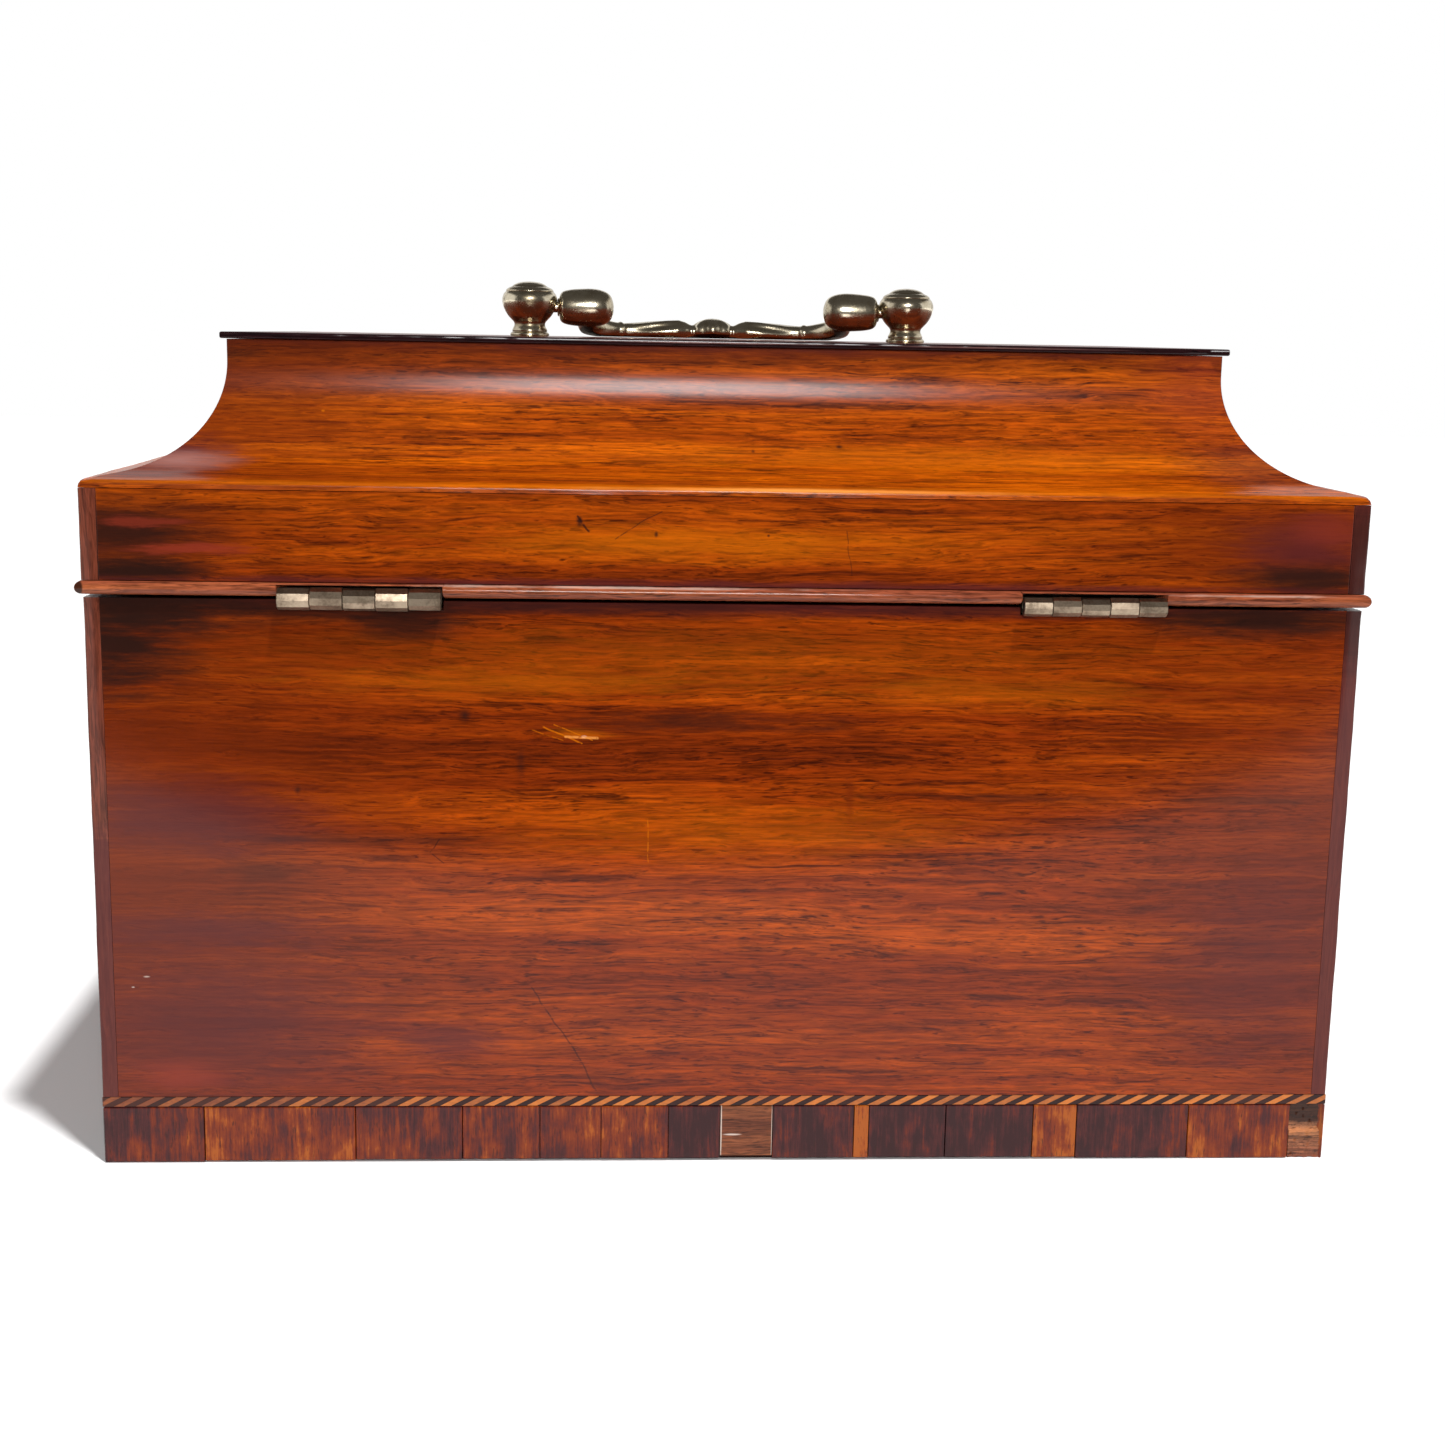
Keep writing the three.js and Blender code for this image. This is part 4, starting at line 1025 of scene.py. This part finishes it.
def slab(face, start, end, low, high, proud):
    """A slip of veneer with softened outer edges. Its section runs over the face and its two ends follow the
    mitres where it meets a corner."""
    soft = 0.18
    rows = np.array([low, low, low + soft, *np.linspace(low + 1.2, high - 1.2, 5), high - soft, high, high])
    inset = np.array([VENEER_DEPTH, soft, 0, 0, 0, 0, 0, 0, 0, soft, VENEER_DEPTH]) - proud
    inset[0] = inset[-1] = VENEER_DEPTH
    share = np.concatenate([[0, 0.004], np.linspace(0.03, 0.97, 9), [0.996, 1]])[:, None]
    along = start + (end - start) * share
    limit = half_length(face, BOX_HALF) - inset - 0.05
    along = np.clip(along, -limit, limit)
    ends = 0.14 * ((share < 0.002) | (share > 0.998)) * (inset < 0.9)
    return on_face(face, BOX_HALF, along, inset + ends, rows)


# The back's slips from +X to -X: where each one ends along the face, and its tone at its start and its end.
BACK_SLIPS = [
    (96.4, 0.2, 0.45), (68.6, 1.1, 0.6), (48.8, 0.62, 0.4), (34.4, 0.55, 0.5), (23.0, 0.5, 0.45),
    (10.4, 0.6, 0.6), (0.65, 0.1, 0.14), (-9.2, 0.8, 0.7), (-24.6, 0.14, 0.14), (-27.4, 1.1, 0.95),
    (-42.0, 0.2, 0.16), (-58.7, 0.2, 0.12), (-67.0, 1.1, 0.85), (-88.5, 0.12, 0.2), (-108.1, 0.8, 0.55),
]
# The repaired slip: where it starts and ends.
REPAIR = (0.65, -9.2)


def slips_of(face):
    """The ends and tones of a face's slips of veneer: the back has its own, the others are seeded."""
    if face == "back":
        return BACK_SLIPS
    rng = np.random.default_rng(300 + FACES.index(face))
    length = half_length(face, BOX_HALF)
    widths = rng.uniform(9, 32, 30)
    ends = length - np.cumsum(widths)
    kept = ends[ends > -length + 6].tolist() + [-length]
    tones = rng.choice([0.12, 0.35, 0.5, 0.6, 0.75, 0.92], len(kept))
    shifts = rng.uniform(-0.2, 0.1, len(kept))
    return [(end, tone, tone + shift) for end, tone, shift in zip(kept, tones, shifts)]


def crossband(face):
    """One face's banding: slips of veneer side by side, each a little more or less proud than the next."""
    rng = np.random.default_rng(500 + FACES.index(face))
    start = half_length(face, BOX_HALF)
    shells, tones = [], []
    for end, first_tone, last_tone in slips_of(face):
        if face == "back" and end == REPAIR[1]:
            start = end
            continue
        lift = float(np.interp(end, [-100, -60, 40, 105], [0.15, 0.5, 0.5, 0.1])) if face == "back" else 0.05
        top = BAND_TOP - rng.uniform(0, 0.12)
        grid = slab(face, start - 0.06, end + 0.06, lift, top, rng.uniform(0, 0.09))
        shells.append(closed_bar(grid))
        fade = np.exp(-5 * np.linspace(0, 1, grid.shape[0]))[:, None]
        tones.append((last_tone + (first_tone - last_tone) * fade + np.zeros(grid.shape[:2])).ravel())
        start = end
    return joined(shells), np.concatenate(tones)


for face in FACES:
    shell, tones = crossband(face)
    name, stands_for = f"crossband_slips_{face}", [f"crossband_{face}"]
    piece(name, shell, veneer, "box", stands_for, values={"tone": tones})


repair_wood = mahogany(
    "repair_wood", rgb(0.2, 0.062, 0.022), rgb(0.14, 0.038, 0.014), rgb(0.05, 0.012, 0.006), shift=21.0,
    spots=[
        (0.5, 6, 0.22, 8, 0.6, 0.15, CHALK, 0.6),
        (-9.1, 6, 0.16, 8, 0.6, 0.15, CHALK, 0.5),
        (-1.6, 5.2, 2.2, 0.25, 0.7, 0.3, CHALK, 0.6),
    ],
)
repair = slab("back", REPAIR[0] - 0.06, REPAIR[1] + 0.06, 0.95, BAND_TOP - 0.05, 0.04)
piece("repair_slip", closed_bar(repair), repair_wood, "box")


def bare_ground():
    """The patch at the back's -X end where veneer has gone: rough ground wood, deeper above than below."""
    z = np.linspace(0.05, BAND_TOP - 0.1, 24)
    along = np.linspace(-108.3, -114.3, 20)[:, None]
    rough = 0.16 * waves(along + z * 1.7, 81, 3.2) + 0.12 * waves(z * 1.3 - along, 82, 1.9)
    inset = 0.45 + 0.45 * (z > 5.6) + np.clip(rough, -0.2, 0.3)
    ring = np.concatenate([inset, np.full((len(along), 2), 1.2)], 1)
    height = np.concatenate([z, [z[-1], z[0]]])
    return closed_bar(on_face("back", BOX_HALF, along, ring, height))


ground_wood = mahogany(
    "bare_ground_wood", rgb(0.36, 0.14, 0.06), rgb(0.2, 0.06, 0.03), rgb(0.04, 0.012, 0.008), gloss=0.6,
    spots=[(-111, 9, 8, 3.2, 0.4, 0.3, GRIME_AND_SHADE, 0.9)],
)
piece("bare_ground_patch", bare_ground(), ground_wood, "box")

ROPE_PITCH = 4.0
ROPE_LEAN = 3.5


def rope_slips(dark):
    """Every second slip of the rope inlay: a leaning four-sided slip, cut off at the corners' mitres."""
    rng = np.random.default_rng(77 + dark)
    shells, tones = [], []
    low, high = STRING_Z
    up = np.linspace(0, 1, 5)
    for face in FACES:
        length = half_length(face, BOX_HALF)
        first = -length - ROPE_PITCH * 2 + (ROPE_PITCH / 2 if dark else 0)
        for at in np.arange(first, length + ROPE_PITCH * 2, ROPE_PITCH):
            width = ROPE_PITCH / 2 - 0.06 + rng.uniform(-0.08, 0.08)
            left = at + ROPE_LEAN * (0.5 - up)
            proud = rng.uniform(-0.03, 0.05)
            along = np.concatenate([left, (left + width)[::-1]])
            height = low + (high - low) * np.concatenate([up, up[::-1]])
            outer_end, inner_end = length - 0.02 + proud, length - VENEER_DEPTH
            outer = on_face(face, BOX_HALF, np.clip(along, -outer_end, outer_end), -proud, height)
            inner = on_face(face, BOX_HALF, np.clip(along, -inner_end, inner_end), VENEER_DEPTH, height)
            if np.ptp(outer[:, 0 if face in ("back", "front") else 1]) < 0.05:
                continue
            shells.append(closed_bar(np.stack([outer, inner])))
            faded = 0.25 + 0.6 * max(at / length, 0) if face == "back" else 0.4
            tones.append(np.full(20, np.clip(faded + rng.uniform(-0.35, 0.35), 0, 1)))
    return joined(shells), np.concatenate(tones)


for name, dark, finish in (("rope_light_slips", 0, rope_light), ("rope_dark_slips", 1, rope_dark)):
    shell, tones = rope_slips(dark)
    stands_for = ["rope_stringing"] if dark == 0 else []
    piece(name, shell, finish, "box", stands_for, values={"tone": tones})


# ------------------------------------------------------------------ brass: posts, knobs, handle and hinges

POST_OUTLINE = [
    (0, 0.02), (3.7, 0.02), (3.95, 0.15), (4.0, 0.4), (3.9, 0.65), (3.6, 0.85), (3.55, 1.0), (3.6, 1.2),
    (3.45, 1.6), (3.2, 2.1), (3.15, 2.5), (3.3, 2.9), (3.75, 3.4), (4.4, 4.1), (5.0, 5.0), (5.45, 6.0),
    (5.66, 7.0), (5.62, 7.8), (5.35, 8.5), (5.0, 8.95), (4.86, 9.05), (4.88, 9.2), (4.7, 9.5), (4.25, 9.8),
    (3.75, 10.0), (3.5, 10.15), (3.2, 10.4), (2.6, 10.7), (1.8, 10.93), (0.9, 11.05), (0, 11.1),
]


KNOB_OUTLINE = [
    (0, 0.02), (3.4, 0.02), (3.6, 0.25), (3.4, 0.75), (2.7, 1.1), (2.05, 1.8), (1.8, 2.6), (1.9, 3.2),
    (2.6, 3.9), (3.8, 4.6), (4.7, 5.4), (5.0, 6.2), (4.8, 7.1), (4.2, 7.8), (3.3, 8.2), (3.1, 8.4),
    (2.2, 8.75), (1.1, 8.95), (0, 9.0),
]


def turned_piece(name, outline, centre, body, stands_for, dark_near):
    """A turned brass piece from its outline, with tarnish kept in the hollows named by their heights."""
    profile = through(outline, 4 * len(outline))
    profile[:, 0] = np.maximum(profile[:, 0], 0)
    profile[0, 0] = profile[-1, 0] = 0
    shell = turned(profile, 48, centre)
    heights = shell[0][:, 2] - centre[2]
    recess = sum(bump(heights, at, width) for at, width in dark_near)
    values = {"recess": np.clip(recess, 0, 0.9)}
    piece(name, shell, aged_brass, body, [stands_for], sharp=50, values=values)


for side in ("left", "right"):
    centre = (*middle(f"handle_post_{side}")[:2], CAP_TOP)
    hollows = [(0.95, 0.25), (2.3, 0.5), (9.05, 0.1), (10.08, 0.12)]
    turned_piece(f"post_{side}_turned", POST_OUTLINE, centre, "lid", f"handle_post_{side}", hollows)
    lid_top = corners(f"tea_lid_{side}")[1][2]
    centre = (*middle(f"tea_lid_knob_{side}")[:2], lid_top)
    body, node = f"tea_lid_{side}", f"tea_lid_knob_{side}"
    hollows = [(0.9, 0.3), (2.6, 0.9), (8.3, 0.2)]
    turned_piece(f"knob_{side}_turned", KNOB_OUTLINE, centre, body, node, hollows)


# The handle's pivot line lies this far below the tips of its posts and this far above the plate, and the
# lowest part of its grip rests just clear of the plate.
PIVOT_BELOW_TIP = 5.1
PIVOT_RISE = 6.0
GRIP_CLEAR = 0.3
GRIP_LOW = 1.1
PIVOT_Z = corners("handle_post_left")[1][2] - PIVOT_BELOW_TIP
POST_AT = middle("handle_post_right")[0]
GRIP_REACH = 27.5
# How far in from the post, and the share of the handle's reach.
HANDLE_LINE = [
    (5.8, 0), (9.5, 0.01), (12.8, 0.08), (13.4, 0.24), (12.4, 0.44), (11.6, 0.65), (13.6, 0.87), (19.5, 1.0),
    (29, 1.01),
]
# Share of the way from post to middle, half width in the handle's plane, half height across it.
HANDLE_SECTION = np.array([
    (0.0, 1.3, 1.3), (0.18, 1.6, 1.6), (0.24, 2.1, 2.2), (0.33, 2.0, 2.5), (0.45, 2.0, 2.5),
    (0.55, 2.0, 2.2), (0.62, 2.0, 1.8), (0.66, 2.1, 1.7), (0.7, 2.4, 1.9), (0.76, 2.8, 2.2),
    (0.82, 3.0, 2.5), (0.87, 2.9, 2.6), (0.895, 2.4, 2.2), (0.915, 1.8, 1.6), (0.93, 1.7, 1.4),
    (1.0, 1.7, 1.4),
])


def handle_bar():
    """The drop handle's bar. An oval section is carried along a smooth line from post to post. Ripples
    round the section, strongest on the leaf swellings, carve the leaves. It is flat below."""
    half = np.array([(POST_AT - inset, -share * GRIP_REACH, 0) for inset, share in HANDLE_LINE])
    other = half[::-1] * (-1, 1, 1)
    line = through(np.vstack([half, [(0, -1.0 * GRIP_REACH, 0)], other]), 900)
    steps = np.linalg.norm(np.diff(line, axis=0), axis=1)
    far = np.concatenate([[0], np.cumsum(steps)])
    share = np.linspace(0, 1, 341)
    centre = np.stack([np.interp(share * far[-1], far, line[:, k]) for k in range(3)], -1)
    ahead = np.gradient(centre, axis=0)
    ahead /= np.linalg.norm(ahead, axis=1)[:, None]
    side = np.cross((0, 0, 1), ahead)
    way = 1 - np.abs(1 - 2 * share)
    wide = np.interp(way, HANDLE_SECTION[:, 0], HANDLE_SECTION[:, 1])
    tall = np.interp(way, HANDLE_SECTION[:, 0], HANDLE_SECTION[:, 2])
    turn = round_turn(40)
    leaf = bump(way, 0.79, 0.09)
    leaf_ripple = np.cos(6 * turn + 14 * way[:, None])
    carve = 1 + 0.09 * leaf[:, None] * leaf_ripple
    ring = bump(way, 0.64, 0.007) + bump(way, 0.93, 0.006)
    carve = carve + 0.14 * ring[:, None]
    across = np.cos(turn) * wide[:, None] * carve
    up = np.maximum(np.sin(turn), -0.72) * tall[:, None] * carve
    grid = centre[:, None, :] + across[..., None] * side[:, None, :] + up[..., None] * np.array((0, 0, 1.0))
    recess = 0.8 * leaf[:, None] * np.clip(-leaf_ripple, 0, 1) + 0.6 * bump(way, 0.35, 0.15)[:, None]
    return closed_bar(grid), recess


def handle_button():
    """The dome in the middle of the grip: a squashed ball with eight shallow lobes."""
    lift = np.linspace(-np.pi / 2, np.pi / 2, 25)[:, None]
    turn = round_turn(48)
    lobe = 1 + 0.07 * np.cos(8 * turn) * np.cos(lift) ** 2
    x = 4.7 * np.cos(lift) * np.cos(turn) * lobe
    y = 3.9 * np.cos(lift) * np.sin(turn) * lobe
    z = np.maximum(3.0 * np.sin(lift), -0.9) + 0 * turn
    grid = np.stack([x, y - GRIP_REACH, z], -1)
    recess = 0.7 * np.clip(-np.cos(8 * turn), 0, 1) * np.cos(lift) ** 2
    return (grid.reshape(-1, 3), grid_faces(25, 48, wrap_cols=True)), recess


BOSS_OUTLINE = [
    (5.7, 0), (5.72, 1.5), (5.85, 1.8), (6.05, 1.9), (6.15, 2.2), (6.4, 2.8), (7.1, 3.3), (8.5, 3.62),
    (10.5, 3.8), (12.5, 3.86), (14.3, 3.7), (15.8, 3.2), (16.7, 2.4), (17.15, 1.3), (17.3, 0.5), (17.3, 0),
]


def round_x(x, radius, turn, centre=(0.0, 0.0)):
    """Rings round a line along X: one for each x and radius, with points at these angles."""
    y = centre[0] + radius * np.cos(turn)
    z = centre[1] + radius * np.sin(turn)
    return np.stack(np.broadcast_arrays(np.asarray(x)[:, None], y, z), -1)


def handle_boss(sign):
    """The barrel-shaped boss beside a post: its outline goes round the pivot line."""
    outline = through(BOSS_OUTLINE, 60)
    radius = np.maximum(outline[:, 1], 0)
    radius[0] = radius[-1] = 0
    grid = round_x(sign * (POST_AT - outline[:, 0]), radius[:, None], round_turn(48))
    return grid.reshape(-1, 3), grid_faces(60, 48, wrap_cols=True)


def handle_pin(sign):
    """One end of the handle, a plain round pin that goes into its post."""
    return closed_bar(round_x(sign * np.array([POST_AT - 7.2, POST_AT - 2.7]), 1.1, round_turn(20)))


bar, bar_recess = handle_bar()
button, button_recess = handle_button()
handle_shells = [bar, button, handle_pin(-1), handle_pin(1), handle_boss(-1), handle_boss(1)]
handle_points, handle_faces = joined(handle_shells)
tilt = math.asin((PIVOT_RISE - GRIP_CLEAR - GRIP_LOW) / GRIP_REACH)
turned_down = Matrix.Rotation(tilt, 3, "X")
handle_points = handle_points @ np.array(turned_down).T + (0, 0, PIVOT_Z)
handle_points[:, 2] = np.maximum(handle_points[:, 2], CAP_TOP + 0.12)
handle_recess = np.concatenate([bar_recess.ravel(), button_recess.ravel()])
plain_points = len(handle_points) - len(handle_recess)
handle_recess = np.concatenate([np.clip(handle_recess, 0, 0.9), np.zeros(plain_points)])
handle = (handle_points, handle_faces)
values = {"recess": handle_recess}
piece("drop_handle", handle, aged_brass, "bail", ["handle_bail"], sharp=50, values=values)


PIN_RADIUS = 1.02


def knuckle(start, end, centre, radius, sides, twist, swell):
    """A hinge knuckle: a many-sided tube round the pin, a little out of true, with chamfered ends."""
    turn = round_turn(sides) + twist
    chamfer = 0.1
    share = np.array([start, start, start + chamfer, (start + end) / 2, end - chamfer, end, end])
    end_size = radius - chamfer
    size = np.array([PIN_RADIUS, end_size, radius, radius * swell, radius, end_size, PIN_RADIUS])[:, None]
    wobble = 1 + 0.03 * np.cos(3 * turn + twist * 5)
    grid = round_x(share, size * wobble, turn, centre)
    return grid.reshape(-1, 3), grid_faces(7, sides, wrap_rows=True, wrap_cols=True)


for side, barrel in (("left", 1.65), ("right", 1.9)):
    low, high = corners(f"hinge_{side}_pin")
    start, end = low[0] - 0.1, high[0] + 0.1
    axis = ((low[1] + high[1]) / 2, (low[2] + high[2]) / 2)
    pitch = (end - start) / 5
    for part, numbers in (("box", (0, 2, 4)), ("lid", (1, 3))):
        shells = []
        for number in numbers:
            span = (start + pitch * number + 0.05, start + pitch * (number + 1) - 0.05)
            size = barrel + (0.17 if part == "lid" else 0.1)
            shells.append(knuckle(*span, axis, size, 10, 0.4 * number + 0.2, 1.015))
        finish = hinge_bright if part == "lid" else hinge_dull
        piece(f"hinge_{side}_{part}_knuckles", joined(shells), finish, part, sharp=20)


# ------------------------------------------------------------------ floor, light and camera

def stage_sheet(name, grid, material):
    """A flat sheet on the ground from a grid of x and y. It isn't part of the caddy."""
    rows, cols = grid.shape[:2]
    points = np.column_stack([grid.reshape(-1, 2), np.zeros(rows * cols)])
    mesh = bpy.data.meshes.new(name)
    mesh.from_pydata(points.tolist(), [], grid_faces(rows, cols))
    mesh.materials.append(material)
    made = shown(name, mesh)
    return made


floor_shader = {"Base_Color": rgb(0.92, 0.92, 0.92), "Specular_IOR_Level": 0.0, "Roughness": 1.0}
paper = new_material("pale_floor", **floor_shader)[0]
across = np.concatenate([[-3.0], np.linspace(-0.5, 0.5, 61), [3.0]])
bowed = np.clip(across, -0.5, 0.5) - 0.017
near_edge = 0.281 + np.where(bowed > 0, 4.2, 2.6) * bowed**2
far_edge = np.full_like(across, -3.0)
floor_grid = np.stack([np.column_stack([across, far_edge]), np.column_stack([across, near_edge])], 1)
stage_sheet("floor", floor_grid, paper)


def area_light(name, place, target, width, height, power, diffuse=True):
    """A soft box that faces a point."""
    lamp = bpy.data.lights.new(name, "AREA")
    lamp.shape = "RECTANGLE"
    lamp.size = width
    lamp.size_y = height
    lamp.energy = power
    made = shown(name, lamp)
    made.location = place
    made.rotation_euler = (Vector(target) - Vector(place)).to_track_quat("-Z", "Y").to_euler()
    made.visible_diffuse = diffuse
    made.visible_camera = False
    return made


sun = bpy.data.lights.new("key", "SUN")
sun.energy = 3.5
sun.angle = math.radians(4)
key = shown("key", sun)
key.rotation_euler = Vector((27.9, -34.5, -126)).to_track_quat("-Z", "Y").to_euler()
key.visible_glossy = False

area_light("window", (-0.02, 1.0, 0.49), (0, 0.05, 0.14), 0.26, 0.24, 5.0)
area_light("left_screen", (0.9, -0.1, 0.35), (0, 0, 0.15), 1.2, 0.8, 2.4, diffuse=False)
area_light("right_screen", (-0.9, -0.1, 0.35), (0, 0, 0.15), 1.2, 0.8, 2.4, diffuse=False)
area_light("back_screen", (0, -1.3, 0.5), (0, 0, 0.15), 2.6, 0.9, 6.0, diffuse=False)

world = bpy.data.worlds.new("studio")
bpy.context.scene.world = world
world.use_nodes = True
sky = Bench(world.node_tree)
shade = next(n for n in world.node_tree.nodes if n.type == "BACKGROUND")
path = sky.add("ShaderNodeLightPath").outputs
soft = sky.mix(path["Is Glossy Ray"], rgb(0.22, 0.22, 0.22), rgb(0.08, 0.075, 0.07))
sky.feed(shade.inputs["Color"], sky.mix(path["Is Camera Ray"], soft, rgb(1, 1, 1)))

camera_data = bpy.data.cameras.new("camera")
camera_data.lens = 51.42
camera_data.sensor_width = 36.0
camera_data.clip_start = 0.01
camera_data.clip_end = 20.0
camera = shown("camera", camera_data)
bpy.context.scene.camera = camera

CAMERA_PLACE = (0.02229, 0.43637, 0.15326)
YAW, PITCH, ROLL = 0.05639, 0.18632, 0.01823
level_right = Vector((-math.cos(YAW), math.sin(YAW), 0))
forward = Vector((-math.cos(PITCH) * math.sin(YAW), -math.cos(PITCH) * math.cos(YAW), -math.sin(PITCH)))
level_up = Vector((-math.sin(PITCH) * math.sin(YAW), -math.sin(PITCH) * math.cos(YAW), math.cos(PITCH)))
right = math.cos(ROLL) * level_right + math.sin(ROLL) * level_up
up = math.cos(ROLL) * level_up - math.sin(ROLL) * level_right
turn = Matrix((right, up, -forward)).transposed().to_4x4()
camera.matrix_world = Matrix.Translation(CAMERA_PLACE) @ turn

bpy.context.scene.view_settings.view_transform = "Standard"
